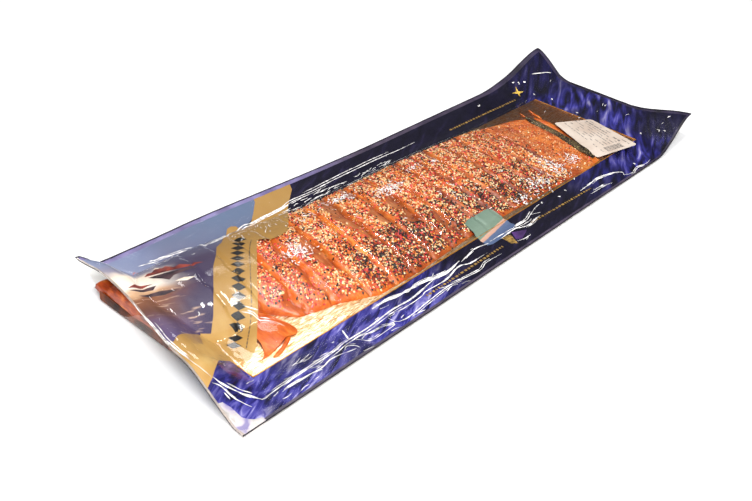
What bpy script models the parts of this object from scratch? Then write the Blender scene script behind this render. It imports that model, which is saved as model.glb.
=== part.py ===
"""A flat sealed pouch of seasoned smoked salmon: a whole side of fish on a stiff card inside film
that is sealed to a flange all round, with a paper information label on top of it.

The pouch is one closed solid with the outer shape of the film. It lies on its flat underside."""

import math

import bmesh
import bpy

# Driving dimensions, in metres. +X runs from the thick end of the fish to its tail,
# +Y towards the straight back edge of the fish, +Z up. A pair is a stretch along one axis:
# where a change starts and where it is complete.
POUCH_LENGTH = 0.640
POUCH_WIDTH = 0.205
FLANGE_THICKNESS = 0.0010

CARD_NEAR_X = -0.278
CARD_FAR_X = 0.262
CARD_RIGHT_Y = -0.066
CARD_LEFT_Y = 0.062
CARD_TOP = 0.0034  # height of the film where it lies on the bare card
CARD_EDGE_FALL = 0.010  # how far outside the card the film takes to come down

FISH_NEAR_X = -0.297
FISH_FAR_X = 0.206
FISH_BACK_Y = 0.062  # edge of the thick back of the fish
FISH_BACK_NEAR_FLARE = 0.010  # how much further out that edge runs at the thick end
FISH_FLARE_X = (-0.120, -0.240)
FISH_BACK_FAR_TAPER = 0.016  # how much further in it runs at the tail
FISH_TAPER_X = (0.130, 0.210)
FISH_BELLY_Y = -0.0635  # edge of the thin belly side
FISH_BELLY_NEAR_STEP = 0.047  # how far the belly side is cut back at the thick end
FISH_STEP_X = (-0.140, -0.290)
FISH_NEAR_CROWN = 0.0250  # film heights over the thickest line of the fish
FISH_MIDDLE_CROWN = 0.0205
FISH_FAR_CROWN = 0.0062
FISH_NEAR_CROWN_X = (0.0, -0.230)
FISH_FAR_CROWN_X = (0.0, 0.225)
FISH_CROWN_AT = 0.58  # where the thickest line runs, as a share of the width from the belly edge
FISH_BELLY_SHARE = 0.27  # height at the belly edge, as a share of the crown
FISH_BACK_SHARE = 0.66  # height at the back edge, as a share of the crown
FISH_EDGE_ROUND = 0.008
FISH_EDGE_INSIDE = 0.35  # the share of that rounding which lies inside the outline
FILM_FILLET = 0.0015  # the film bridges the corner between card and fish by about this much
FLANGE_FILLET = 0.002

SLICE_COUNT = 16
SLICE_DEPTH = 0.0018  # how deep the film dips into the cut between two slices
SLICE_ROUND = 0.6  # under 1: flat backs and narrow dents
CUT_SLANT = 0.12  # how far a cut runs along X for each metre that it runs along Y
CUT_BOW = 1.5  # how strongly a cut curves, per metre
CUTS_FROM_X = -0.270
CUTS_TO_X = 0.146

NEAR_EDGE_PULL = 0.0215  # the seal at the thick end is drawn in over the fish
NEAR_PULL_Y = (-0.070, 0.085)
NEAR_TIP_REACH = 0.0070  # the corner of that seal sticks out again
NEAR_TIP_REACH_Y = (0.086, 0.102)
BACK_EDGE_PULL = 0.005  # the back seal is drawn in beside the thick end
BACK_PULL_X = (-0.150, -0.300)
CURLED_CORNER_PULL = 0.008  # the curled tail corner on the belly side is drawn in
CURLED_PULL_X = (0.240, 0.320)

NEAR_SEAL_HEIGHT = 0.0252  # the thick end lifts the seal to the top of the fish
NEAR_SEAL_Y = (-0.104, -0.044)
NEAR_SEAL_LEVEL = 0.008  # the seal stays level this far from its edge
NEAR_SEAL_FALL = 0.042  # and comes down within this distance, or less beside the back
NEAR_SEAL_BACK_FALL = 0.022
NEAR_SEAL_BACK_Y = (0.060, 0.090)
NEAR_SEAL_FILLET = 0.006
NEAR_TIP_RISE = 0.0075
NEAR_TIP_Y = (0.082, 0.100)
NEAR_TIP_LENGTH = 0.012
BACK_FLANGE_RISE = 0.0080
BACK_FLANGE_Y = (0.066, 0.102)
BACK_FLANGE_NEAR_RISE = 0.0125  # more where the thick end lifts it
BACK_FLANGE_NEAR_X = (0.030, -0.300)
BACK_FLANGE_NEAR_Y = (0.050, 0.080)
BACK_FLANGE_NEAR_POWER = 1.5
FAR_FLANGE_RISE = 0.0090
FAR_FLANGE_X = (0.258, 0.320)
FAR_BACK_CORNER_RISE = 0.0175
FAR_BACK_CORNER_REACH = 0.110  # the curl fades out this far from the corner along X
FAR_BACK_CORNER_SKEW = 2.2  # and this many times sooner along Y
FAR_BELLY_CORNER_RISE = 0.0155
FAR_BELLY_CORNER_REACH = 0.095
FAR_BELLY_CORNER_SKEW = 1.2

BODY_BELLY_Y = -0.086  # the flat underside of the pouch reaches this far
BODY_BACK_Y = 0.076
BODY_NEAR_X = -0.2990
BODY_FAR_X = 0.278
BODY_NEAR_RISE = 0.009  # the underside leaves the table over these distances
BODY_SIDE_RISE = 0.018
BODY_FAR_RISE = 0.036

LABEL_SHORT = 0.052
LABEL_LONG = 0.072
LABEL_THICKNESS = 0.0004
LABEL_CORNER_RADIUS = 0.003
LABEL_CENTRE = (0.228, -0.035)
LABEL_TURN = math.radians(-19.5)
LABEL_HEIGHT = 0.0064
LABEL_TWIST = 0.0025  # how far each corner stands above or below the middle
LABEL_AIR = 0.0005  # the film stays this far below the label
LABEL_HOLD = 0.014  # the film reaches up to the label this far inside its edges
LABEL_PRESS = 0.008  # and is pressed below its height this far outside them

COLUMNS = 118  # mesh cells along the pouch and across it
ROWS = 25
LABEL_CELLS = 6
LABEL_CORNER_CELLS = 3
ON_TABLE = 1e-6  # a point lower than this lies on the table
SHARP_EDGE = math.radians(40)


def ramp(t):
    """0 below 0, 1 above 1, and smooth in between."""
    t = min(1.0, max(0.0, t))
    return t * t * (3.0 - 2.0 * t)


def part_of(value, stretch):
    """How much of a change is done at this value: 0 before the stretch, 1 after it."""
    start, end = stretch
    return ramp((value - start) / (end - start))


def soft_max(a, b, blend):
    """The larger of two heights, rounded over where they cross."""
    share = ramp(0.5 + (a - b) / (2.0 * blend))
    return b + (a - b) * share


def near_edge_x(y):
    """Where the seal at the thick end lies: at full length beside the fish, drawn in over it."""
    drawn_in = NEAR_EDGE_PULL * part_of(y, NEAR_PULL_Y)
    return -POUCH_LENGTH / 2 + drawn_in - NEAR_TIP_REACH * part_of(y, NEAR_TIP_REACH_Y)


def plan(u, v):
    """Where the point at u along the pouch, 0 to 1, and v across it, -1 to 1, lies in plan."""
    y = v * POUCH_WIDTH / 2
    near_x = near_edge_x(y)
    x = near_x + u * (POUCH_LENGTH / 2 - near_x)
    y -= BACK_EDGE_PULL * part_of(x, BACK_PULL_X) * max(v, 0.0)
    y += CURLED_CORNER_PULL * part_of(x, CURLED_PULL_X) * max(-v, 0.0) ** 2
    return x, y


def near_seal_height(x, y):
    """The seal at the thick end: flat on the table at the belly corner, up on the fish elsewhere."""
    height = NEAR_SEAL_HEIGHT * part_of(y, NEAR_SEAL_Y)
    from_edge = x - near_edge_x(y)
    fall = NEAR_SEAL_FALL + (NEAR_SEAL_BACK_FALL - NEAR_SEAL_FALL) * part_of(y, NEAR_SEAL_BACK_Y)
    tip = NEAR_TIP_RISE * part_of(y, NEAR_TIP_Y) * (1.0 - ramp(from_edge / NEAR_TIP_LENGTH))
    return height * (1.0 - ramp((from_edge - NEAR_SEAL_LEVEL) / fall)) + tip


def flange_height(x, y):
    """Middle height of the sealed flange, with its curled corners."""
    rise = BACK_FLANGE_RISE * part_of(y, BACK_FLANGE_Y)
    near_start, near_end = BACK_FLANGE_NEAR_X
    near_share = min(1.0, max(0.0, (x - near_start) / (near_end - near_start)))
    near_share **= BACK_FLANGE_NEAR_POWER
    rise += BACK_FLANGE_NEAR_RISE * near_share * part_of(y, BACK_FLANGE_NEAR_Y)
    rise += FAR_FLANGE_RISE * part_of(x, FAR_FLANGE_X)
    from_far = POUCH_LENGTH / 2 - x
    from_back_corner = from_far + FAR_BACK_CORNER_SKEW * (POUCH_WIDTH / 2 - y)
    rise += FAR_BACK_CORNER_RISE * (1.0 - ramp(from_back_corner / FAR_BACK_CORNER_REACH))
    from_belly_corner = from_far + FAR_BELLY_CORNER_SKEW * (POUCH_WIDTH / 2 + y)
    rise += FAR_BELLY_CORNER_RISE * (1.0 - ramp(from_belly_corner / FAR_BELLY_CORNER_REACH))
    rise = soft_max(near_seal_height(x, y), rise, NEAR_SEAL_FILLET)
    return FLANGE_THICKNESS / 2 + rise


def fish_edges(x):
    """The belly edge and the back edge of the fish at x."""
    back = FISH_BACK_Y + FISH_BACK_NEAR_FLARE * part_of(x, FISH_FLARE_X)
    back -= FISH_BACK_FAR_TAPER * part_of(x, FISH_TAPER_X)
    belly = FISH_BELLY_Y + FISH_BELLY_NEAR_STEP * part_of(x, FISH_STEP_X)
    return belly, back


def crown(x):
    """Height of the thickest line of the fish at x."""
    near = (FISH_NEAR_CROWN - FISH_MIDDLE_CROWN) * part_of(x, FISH_NEAR_CROWN_X)
    far = (FISH_FAR_CROWN - FISH_MIDDLE_CROWN) * part_of(x, FISH_FAR_CROWN_X)
    return FISH_MIDDLE_CROWN + near + far


def slice_dip(x, y):
    """How far the film dips at the cross cuts: a rounded back on each slice, a dent at each cut."""
    along = x - CUT_SLANT * y - CUT_BOW * y**2
    place = (along - CUTS_FROM_X) / (CUTS_TO_X - CUTS_FROM_X) * SLICE_COUNT
    inside = ramp(place) * ramp(SLICE_COUNT - place)
    return SLICE_DEPTH * inside * (1.0 - abs(math.sin(math.pi * place)) ** SLICE_ROUND)


def contents_height(x, y):
    """Height of the film over the card and the fish."""
    outside_card = max(CARD_NEAR_X - x, x - CARD_FAR_X, CARD_RIGHT_Y - y, y - CARD_LEFT_Y)
    card = CARD_TOP * (1.0 - ramp(outside_card / CARD_EDGE_FALL))
    belly, back = fish_edges(x)
    across = (y - belly) / (back - belly)
    if across < FISH_CROWN_AT:
        lift = math.sin(math.pi / 2 * max(0.0, across) / FISH_CROWN_AT)
        profile = FISH_BELLY_SHARE + (1.0 - FISH_BELLY_SHARE) * lift
    else:
        away = min(1.0, (across - FISH_CROWN_AT) / (1.0 - FISH_CROWN_AT))
        profile = 1.0 - (1.0 - FISH_BACK_SHARE) * away**2
    outside_fish = max(belly - y, y - back, FISH_NEAR_X - x, x - FISH_FAR_X)
    edge = 1.0 - ramp(FISH_EDGE_INSIDE + outside_fish / FISH_EDGE_ROUND)
    fish = (crown(x) * profile - slice_dip(x, y)) * edge
    return soft_max(fish, card, FILM_FILLET)


def label_height(x, y):
    """Height of the underside of the label, and how far inside its outline the point lies."""
    dx = x - LABEL_CENTRE[0]
    dy = y - LABEL_CENTRE[1]
    short = dx * math.cos(LABEL_TURN) + dy * math.sin(LABEL_TURN)
    long = dy * math.cos(LABEL_TURN) - dx * math.sin(LABEL_TURN)
    a = short / (LABEL_SHORT / 2)
    b = long / (LABEL_LONG / 2)
    inside = min(LABEL_SHORT / 2 - abs(short), LABEL_LONG / 2 - abs(long))
    return LABEL_HEIGHT - LABEL_TWIST * a * b, inside


def top_height(x, y):
    """Height of the upper film."""
    flange = flange_height(x, y) + FLANGE_THICKNESS / 2
    height = soft_max(contents_height(x, y), flange, FLANGE_FILLET)
    label, inside = label_height(x, y)
    if inside < -LABEL_PRESS:
        return height
    height = min(height, label - LABEL_AIR)
    return height + (label - LABEL_AIR - height) * ramp(inside / LABEL_HOLD)


def bottom_height(x, y):
    """Height of the lower film: flat under the contents, up against the flange outside them."""
    outside_near = (BODY_NEAR_X - x) / BODY_NEAR_RISE
    outside_far = (x - BODY_FAR_X) / BODY_FAR_RISE
    outside_sides = max(BODY_BELLY_Y - y, y - BODY_BACK_Y) / BODY_SIDE_RISE
    outside = ramp(max(outside_near, outside_far, outside_sides))
    return (flange_height(x, y) - FLANGE_THICKNESS / 2) * outside


def material(name, colour, roughness, metallic=0.0):
    made = bpy.data.materials.new(name)
    made.use_nodes = True
    shader = made.node_tree.nodes["Principled BSDF"]
    shader.inputs["Base Color"].default_value = (*colour, 1.0)
    shader.inputs["Roughness"].default_value = roughness
    shader.inputs["Metallic"].default_value = metallic
    return made


def add_object(name, bm, finish):
    bmesh.ops.recalc_face_normals(bm, faces=bm.faces[:])
    mesh = bpy.data.meshes.new(name)
    bm.to_mesh(mesh)
    bm.free()
    mesh.materials.append(finish)
    mesh.shade_smooth()
    mesh.set_sharp_from_angle(angle=SHARP_EDGE)
    made = bpy.data.objects.new(name, mesh)
    bpy.context.scene.collection.objects.link(made)
    return made


def build_pouch():
    """One sheet shaped as the upper film, extruded down into the lower one."""
    bm = bmesh.new()
    bmesh.ops.create_grid(bm, x_segments=COLUMNS, y_segments=ROWS, size=1.0)
    for vert in bm.verts:
        x, y = plan((vert.co.x + 1.0) / 2, vert.co.y)
        vert.co = (x, y, top_height(x, y))
    upper = bm.faces[:]
    lower = bmesh.ops.extrude_face_region(bm, geom=upper)["geom"]
    for vert in (item for item in lower if isinstance(item, bmesh.types.BMVert)):
        low = bottom_height(vert.co.x, vert.co.y)
        vert.co.z = min(low, vert.co.z - FLANGE_THICKNESS)
    flat = [item for item in lower if isinstance(item, bmesh.types.BMFace)]
    flat = [face for face in flat if max(vert.co.z for vert in face.verts) < ON_TABLE]
    bmesh.ops.dissolve_faces(bm, faces=flat, use_verts=False)
    bmesh.ops.triangulate(bm, faces=bm.faces[:])
    return add_object("pouch", bm, material("sealed_film", (0.06, 0.06, 0.16), 0.22))


def build_label():
    """A stiff paper rectangle that lies across the tail, a little twisted."""
    bm = bmesh.new()
    bmesh.ops.create_grid(bm, x_segments=LABEL_CELLS, y_segments=LABEL_CELLS, size=1.0)
    corners = [vert for vert in bm.verts if abs(vert.co.x) > 0.99 and abs(vert.co.y) > 0.99]
    for vert in bm.verts:
        vert.co.x *= LABEL_SHORT / 2
        vert.co.y *= LABEL_LONG / 2
    bmesh.ops.bevel(
        bm,
        geom=corners,
        offset=LABEL_CORNER_RADIUS,
        segments=LABEL_CORNER_CELLS,
        profile=0.5,
        affect="VERTICES",
    )
    turned_x = math.cos(LABEL_TURN)
    turned_y = math.sin(LABEL_TURN)
    for vert in bm.verts:
        a = vert.co.x
        b = vert.co.y
        vert.co.z = LABEL_HEIGHT - LABEL_TWIST * a * b / (LABEL_SHORT * LABEL_LONG / 4)
        vert.co.x = LABEL_CENTRE[0] + a * turned_x - b * turned_y
        vert.co.y = LABEL_CENTRE[1] + a * turned_y + b * turned_x
    raised = bmesh.ops.extrude_face_region(bm, geom=bm.faces[:])["geom"]
    for vert in (item for item in raised if isinstance(item, bmesh.types.BMVert)):
        vert.co.z += LABEL_THICKNESS
    bmesh.ops.triangulate(bm, faces=bm.faces[:])
    return add_object("info_label", bm, material("label_paper", (0.86, 0.86, 0.84), 0.65))


for leftover in list(bpy.data.objects):
    bpy.data.objects.remove(leftover)

build_pouch()
build_label()
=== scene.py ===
"""A sealed pouch of seasoned smoked salmon: a sliced side of fish on a gold card, inside printed and
clear film, with an information label. Every size is in metres, in the frame of the CAD."""

import math

import bmesh
import bpy
import numpy as np
from mathutils import Matrix, Quaternion, Vector


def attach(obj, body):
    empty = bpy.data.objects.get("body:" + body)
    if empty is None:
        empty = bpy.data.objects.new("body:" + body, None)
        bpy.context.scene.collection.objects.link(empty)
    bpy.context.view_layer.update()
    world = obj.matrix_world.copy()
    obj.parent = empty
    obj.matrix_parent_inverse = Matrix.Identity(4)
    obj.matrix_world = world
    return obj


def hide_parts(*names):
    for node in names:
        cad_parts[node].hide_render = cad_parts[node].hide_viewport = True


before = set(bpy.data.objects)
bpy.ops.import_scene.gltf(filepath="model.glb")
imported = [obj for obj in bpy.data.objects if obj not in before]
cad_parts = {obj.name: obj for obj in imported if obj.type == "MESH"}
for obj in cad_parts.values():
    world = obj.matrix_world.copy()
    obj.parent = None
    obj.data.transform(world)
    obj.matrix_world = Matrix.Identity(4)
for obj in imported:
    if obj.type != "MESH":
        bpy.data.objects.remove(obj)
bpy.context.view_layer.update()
body = "root"

# ---------------------------------------------------------------- sizes of the pouch, as in the CAD
POUCH_LENGTH = 0.640
POUCH_WIDTH = 0.205
FLANGE_THICKNESS = 0.0010

CARD_NEAR_X = -0.278
CARD_FAR_X = 0.262
CARD_RIGHT_Y = -0.066
CARD_LEFT_Y = 0.062
CARD_TOP = 0.0034
CARD_EDGE_FALL = 0.010

FISH_NEAR_X = -0.297
FISH_FAR_X = 0.206
FISH_BACK_Y = 0.062
FISH_BACK_NEAR_FLARE = 0.010
FISH_FLARE_X = (-0.120, -0.240)
FISH_BACK_FAR_TAPER = 0.016
FISH_TAPER_X = (0.130, 0.210)
FISH_BELLY_Y = -0.0635
FISH_BELLY_NEAR_STEP = 0.047
FISH_STEP_X = (-0.140, -0.290)
FISH_NEAR_CROWN = 0.0250
FISH_MIDDLE_CROWN = 0.0205
FISH_FAR_CROWN = 0.0062
FISH_NEAR_CROWN_X = (0.0, -0.230)
FISH_FAR_CROWN_X = (0.0, 0.225)
FISH_CROWN_AT = 0.58
FISH_BELLY_SHARE = 0.27
FISH_BACK_SHARE = 0.66
FISH_EDGE_ROUND = 0.008
FISH_EDGE_INSIDE = 0.35
FILM_FILLET = 0.0015
FLANGE_FILLET = 0.002

CUT_SLANT = 0.12
CUT_BOW = 1.5
CUT_FAR_BOW = 3.0  # how much more the far cuts bend at the belly
# Each cut between two slices: where it crosses the middle line, how wide its steep edge is, how freshly
# orange that edge is, and the bare faces before it, as middle across, half length and width.
CUTS = (
    (-0.272, 0.0030, 0.9, ()),
    (-0.246, 0.0030, 0.9, ()),
    (-0.221, 0.0030, 0.9, ()),
    (-0.197, 0.0030, 0.9, ((-0.032, 0.010, 0.0055),)),
    (-0.172, 0.0044, 0.9, ((-0.004, 0.022, 0.0030),)),
    (-0.146, 0.0022, 0.8, ((-0.006, 0.019, 0.0090),)),
    (-0.118, 0.0030, 1.0, ()),
    (-0.095, 0.0018, 0.5, ((0.018, 0.036, 0.0080),)),
    (-0.067, 0.0018, 0.6, ((-0.001, 0.012, 0.0070), (0.044, 0.012, 0.0050))),
    (-0.042, 0.0016, 0.4, ((0.004, 0.010, 0.0085), (-0.017, 0.008, 0.0080))),
    (-0.022, 0.0016, 0.6, ((-0.040, 0.014, 0.0060),)),
    (0.003, 0.0027, 0.3, ()),
    (0.024, 0.0027, 0.3, ()),
    (0.045, 0.0027, 0.6, ((0.034, 0.012, 0.0030),)),
    (0.070, 0.0027, 0.3, ()),
    (0.096, 0.0027, 0.2, ()),
    (0.120, 0.0027, 0.2, ()),
    (0.146, 0.0027, 0.1, ()),
)

NEAR_EDGE_PULL = 0.0215
NEAR_PULL_Y = (-0.070, 0.085)
NEAR_TIP_REACH = 0.0070
NEAR_TIP_REACH_Y = (0.086, 0.102)
BACK_EDGE_PULL = 0.005
BACK_PULL_X = (-0.150, -0.300)
CURLED_CORNER_PULL = 0.008
CURLED_PULL_X = (0.240, 0.320)

NEAR_SEAL_HEIGHT = 0.0252
NEAR_SEAL_Y = (-0.104, -0.044)
NEAR_SEAL_LEVEL = 0.008
NEAR_SEAL_FALL = 0.042
NEAR_SEAL_BACK_FALL = 0.022
NEAR_SEAL_BACK_Y = (0.060, 0.090)
NEAR_SEAL_FILLET = 0.006
NEAR_TIP_RISE = 0.0075
NEAR_TIP_Y = (0.082, 0.100)
NEAR_TIP_LENGTH = 0.012
BACK_FLANGE_RISE = 0.0080
BACK_FLANGE_Y = (0.066, 0.102)
BACK_FLANGE_NEAR_RISE = 0.0125
BACK_FLANGE_NEAR_X = (0.030, -0.300)
BACK_FLANGE_NEAR_Y = (0.050, 0.080)
BACK_FLANGE_NEAR_POWER = 1.5
FAR_FLANGE_RISE = 0.0090
FAR_FLANGE_X = (0.258, 0.320)
FAR_BACK_CORNER_RISE = 0.0175
FAR_BACK_CORNER_REACH = 0.110
FAR_BACK_CORNER_SKEW = 2.2
FAR_BELLY_CORNER_RISE = 0.0155
FAR_BELLY_CORNER_REACH = 0.095
FAR_BELLY_CORNER_SKEW = 1.2

BODY_BELLY_Y = -0.086
BODY_BACK_Y = 0.076
BODY_NEAR_X = -0.2990
BODY_FAR_X = 0.278
BODY_NEAR_RISE = 0.009
BODY_SIDE_RISE = 0.018
BODY_FAR_RISE = 0.036

LABEL_SHORT = 0.052
LABEL_LONG = 0.072
LABEL_THICKNESS = 0.0004
LABEL_CENTRE = (0.228, -0.035)
LABEL_TURN = math.radians(-19.5)
LABEL_HEIGHT = 0.0064
LABEL_TWIST = 0.0025
LABEL_AIR = 0.0005
LABEL_HOLD = 0.014
LABEL_PRESS = 0.008

# ---------------------------------------------------------------- how the layers lie
LENGTH_CELLS = 441  # cells that every sheet of the pouch shares, so that the layers never cross
WIDTH_CELLS = 141
FILM_CELL = POUCH_LENGTH / LENGTH_CELLS
FISH_CELL = 0.00125
PRINT_DROP = 0.00052  # the border ink lies this far under the film's outer face
PICTURE_DROP = 0.00042
RIBBON_DROP = 0.00032
SMALL_PRINT_DROP = 0.00012
FOLD_BEND = 0.12
CARD_FACE = 0.0029
CARD_BOARD = 0.0019
FISH_UNDER_FILM = 0.0013
SEAL_BACK_CELLS = 3
SEAL_BELLY_CELLS = 2
SEAL_FAR_CELLS = 3
SEAL_NEAR_CELLS = 1


# ---------------------------------------------------------------- heights of the pouch
def most(*values):
    found = values[0]
    for value in values[1:]:
        found = np.maximum(found, value)
    return found


def ramp(t):
    t = np.clip(t, 0.0, 1.0)
    return t * t * (3.0 - 2.0 * t)


def part_of(value, stretch):
    """How much of a change is done at this value: 0 before the stretch, 1 after it."""
    start, end = stretch
    return ramp((value - start) / (end - start))


def fold(value, stretch):
    """As part_of, but a straight slope after a short bend."""
    start, end = stretch
    t = np.clip((value - start) / (end - start), 0.0, 1.0)
    return np.where(t < FOLD_BEND, t * t / (2 * FOLD_BEND), t - FOLD_BEND / 2) / (1.0 - FOLD_BEND / 2)


def soft_max(a, b, blend):
    """The larger of two heights, rounded over where they cross."""
    share = ramp(0.5 + (a - b) / (2.0 * blend))
    return b + (a - b) * share


def patchy(x, y, long, wide, seed):
    """Smooth random patches between -1 and 1, of this length along X and width along Y."""
    table = np.random.RandomState(seed).uniform(-1.0, 1.0, (97, 97))
    column = np.floor(x / long).astype(int)
    row = np.floor(y / wide).astype(int)
    right = ramp(x / long - column)
    up = ramp(y / wide - row)
    low = table[column % 97, row % 97] * (1.0 - right) + table[(column + 1) % 97, row % 97] * right
    high = table[column % 97, (row + 1) % 97] * (1.0 - right)
    high = high + table[(column + 1) % 97, (row + 1) % 97] * right
    return low * (1.0 - up) + high * up


def near_edge_x(y):
    """Where the seal at the thick end lies: at full length beside the fish, drawn in over it."""
    drawn_in = NEAR_EDGE_PULL * part_of(y, NEAR_PULL_Y)
    return -POUCH_LENGTH / 2 + drawn_in - NEAR_TIP_REACH * part_of(y, NEAR_TIP_REACH_Y)


def plan(u, v):
    """Where the point at u along the pouch, 0 to 1, and v across it, -1 to 1, lies in plan."""
    y = v * POUCH_WIDTH / 2
    near_x = near_edge_x(y)
    x = near_x + u * (POUCH_LENGTH / 2 - near_x)
    y = y - BACK_EDGE_PULL * part_of(x, BACK_PULL_X) * np.maximum(v, 0.0)
    y = y + CURLED_CORNER_PULL * part_of(x, CURLED_PULL_X) * np.maximum(-v, 0.0) ** 2
    return x, y


def near_seal_height(x, y):
    """The seal at the thick end: flat on the table at the belly corner, up on the fish elsewhere."""
    height = NEAR_SEAL_HEIGHT * part_of(y, NEAR_SEAL_Y)
    from_edge = x - near_edge_x(y)
    fall = NEAR_SEAL_FALL + (NEAR_SEAL_BACK_FALL - NEAR_SEAL_FALL) * part_of(y, NEAR_SEAL_BACK_Y)
    tip = NEAR_TIP_RISE * part_of(y, NEAR_TIP_Y) * (1.0 - ramp(from_edge / NEAR_TIP_LENGTH))
    return height * (1.0 - ramp((from_edge - NEAR_SEAL_LEVEL) / fall)) + tip


def flange_height(x, y):
    """Middle height of the sealed flange, with its curled corners."""
    rise = BACK_FLANGE_RISE * fold(y, BACK_FLANGE_Y)
    near_start, near_end = BACK_FLANGE_NEAR_X
    near_share = np.clip((x - near_start) / (near_end - near_start), 0.0, 1.0)
    near_share = near_share**BACK_FLANGE_NEAR_POWER
    rise = rise + BACK_FLANGE_NEAR_RISE * near_share * part_of(y, BACK_FLANGE_NEAR_Y)
    rise = rise + FAR_FLANGE_RISE * part_of(x, FAR_FLANGE_X)
    from_far = POUCH_LENGTH / 2 - x
    from_back_corner = from_far + FAR_BACK_CORNER_SKEW * (POUCH_WIDTH / 2 - y)
    rise = rise + FAR_BACK_CORNER_RISE * (1.0 - ramp(from_back_corner / FAR_BACK_CORNER_REACH))
    from_belly_corner = from_far + FAR_BELLY_CORNER_SKEW * (POUCH_WIDTH / 2 + y)
    rise = rise + FAR_BELLY_CORNER_RISE * (1.0 - ramp(from_belly_corner / FAR_BELLY_CORNER_REACH))
    rise = soft_max(near_seal_height(x, y), rise, NEAR_SEAL_FILLET)
    return FLANGE_THICKNESS / 2 + rise


def crown(x):
    """Height of the thickest line of the fish at x."""
    near = (FISH_NEAR_CROWN - FISH_MIDDLE_CROWN) * part_of(x, FISH_NEAR_CROWN_X)
    far = (FISH_FAR_CROWN - FISH_MIDDLE_CROWN) * part_of(x, FISH_FAR_CROWN_X)
    return FISH_MIDDLE_CROWN + near + far


def cad_fish_edges(x):
    """The belly edge and the back edge of the space that the fish fills at x."""
    back = FISH_BACK_Y + FISH_BACK_NEAR_FLARE * part_of(x, FISH_FLARE_X)
    back = back - FISH_BACK_FAR_TAPER * part_of(x, FISH_TAPER_X)
    belly = FISH_BELLY_Y + FISH_BELLY_NEAR_STEP * part_of(x, FISH_STEP_X)
    return belly, back


def fish_back_height(x, y):
    """Height of the back of the fish, without its cuts and its rounded edges."""
    belly, back = cad_fish_edges(x)
    across = (y - belly) / (back - belly)
    lift = np.sin(np.pi / 2 * np.clip(across / FISH_CROWN_AT, 0.0, 1.0))
    near = FISH_BELLY_SHARE + (1.0 - FISH_BELLY_SHARE) * lift
    away = np.clip((across - FISH_CROWN_AT) / (1.0 - FISH_CROWN_AT), 0.0, 1.0)
    far = 1.0 - (1.0 - FISH_BACK_SHARE) * away**2
    return crown(x) * np.where(across < FISH_CROWN_AT, near, far)


# ---------------------------------------------------------------- the slices
FACET_NARROW = 0.0020
CUT_DEPTH = 0.0021
CUT_MORE_DEPTH = 0.0014
FILM_FOLLOWS = 0.55  # how far the film goes down into a cut


def slice_places(x, y):
    """For each point: the number of the next cut, and the distance left to it."""
    waver = 0.0012 * patchy(x, y, 0.030, 0.012, 5) + 0.0006 * patchy(x, y, 0.020, 0.004, 6)
    bow = CUT_BOW + CUT_FAR_BOW * part_of(x, (-0.03, 0.09)) * (y < 0.0)
    along = x - CUT_SLANT * y - bow * y**2 + waver
    cuts = np.array([cut[0] for cut in CUTS])
    coming = np.searchsorted(cuts, along)
    inside = (coming > 0) & (coming < len(cuts))
    coming = np.clip(coming, 0, len(cuts) - 1)
    return coming, np.where(inside, cuts[coming] - along, 1.0)


def cut_shape(x, y):
    """Depth of the cuts, and how much of a point is bare sloping face, steep edge and deepest line."""
    coming, left = slice_places(x, y)
    rise = np.array([cut[1] for cut in CUTS])[coming] * 1.25 * (1.0 + 0.40 * patchy(x, y, 0.06, 0.006, 22))
    wide = np.zeros(np.shape(x))
    for number, cut in enumerate(CUTS):
        for middle, reach, width in cut[3]:
            swell = 1.6 * width * np.exp(-(((y - middle) / reach) ** 4))
            wide = np.where(coming == number, np.maximum(wide, swell), wide)
    width = FACET_NARROW + wide * (1.0 + 0.22 * patchy(x, y, 0.05, 0.007, 21))
    depth = CUT_DEPTH + CUT_MORE_DEPTH * wide / 0.009
    slope = np.clip((width + rise - left) / width, 0.0, 1.0)
    steep = np.clip(left / rise, 0.0, 1.0)
    down = depth * np.where(left < rise, ramp(steep), slope**1.3)
    bare = np.where(left < rise, 0.0, ramp(slope * 4.0))
    edge = np.where(left < rise, 1.0, 0.0)
    deepest = np.exp(-(((left - rise) / 0.0011) ** 2))
    return down, bare, edge, deepest


def freshness(x, y):
    """How bright an orange the steep edge of a slice is at this place."""
    coming, left = slice_places(x, y)
    fresh = np.array([cut[2] for cut in CUTS])[coming]
    return np.clip(fresh + 0.45 * patchy(x, y, 0.05, 0.010, 23), 0.0, 1.0)


# ---------------------------------------------------------------- the flap of belly meat
FLAP = ((-0.236, -0.012), (-0.227, -0.016), (-0.222, -0.034), (-0.219, -0.048), (-0.224, -0.053),
        (-0.232, -0.052), (-0.240, -0.054), (-0.258, -0.057), (-0.254, -0.051), (-0.250, -0.040),
        (-0.252, -0.022))
FLAP_CENTRE = (-0.237, -0.036)
FLAP_HEIGHT = 0.0042


def flap_height(x, y):
    """Height of the flap above the card."""
    along = (x - FLAP_CENTRE[0]) / 0.020
    across = (y - FLAP_CENTRE[1]) / 0.026
    return FLAP_HEIGHT * (1.0 - ramp(np.hypot(along, across) - 0.25))


TAIL_BAND = ((0.211, 0.040), (0.207, 0.020), (0.203, -0.005), (0.1985, -0.025), (0.1935, -0.045), (0.189, -0.058))
TAIL_BAND_HEIGHT = 0.0052  # how far the band of skin across the tail stands above the card


def from_line(x, y, line):
    """Distance from each point to an open line, seen from above."""
    found = np.full(np.shape(x), 1.0)
    for (ax, ay), (bx, by) in zip(line[:-1], line[1:]):
        length = math.hypot(bx - ax, by - ay)
        ux = (bx - ax) / length
        uy = (by - ay) / length
        reach = np.clip((x - ax) * ux + (y - ay) * uy, 0.0, length)
        found = np.minimum(found, np.hypot(x - ax - reach * ux, y - ay - reach * uy))
    return found


def tail_band_height(x, y):
    """Height of the skin band across the tail, above the card."""
    return TAIL_BAND_HEIGHT * (1.0 - ramp((from_line(x, y, TAIL_BAND) - 0.0018) / 0.0075))


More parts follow.
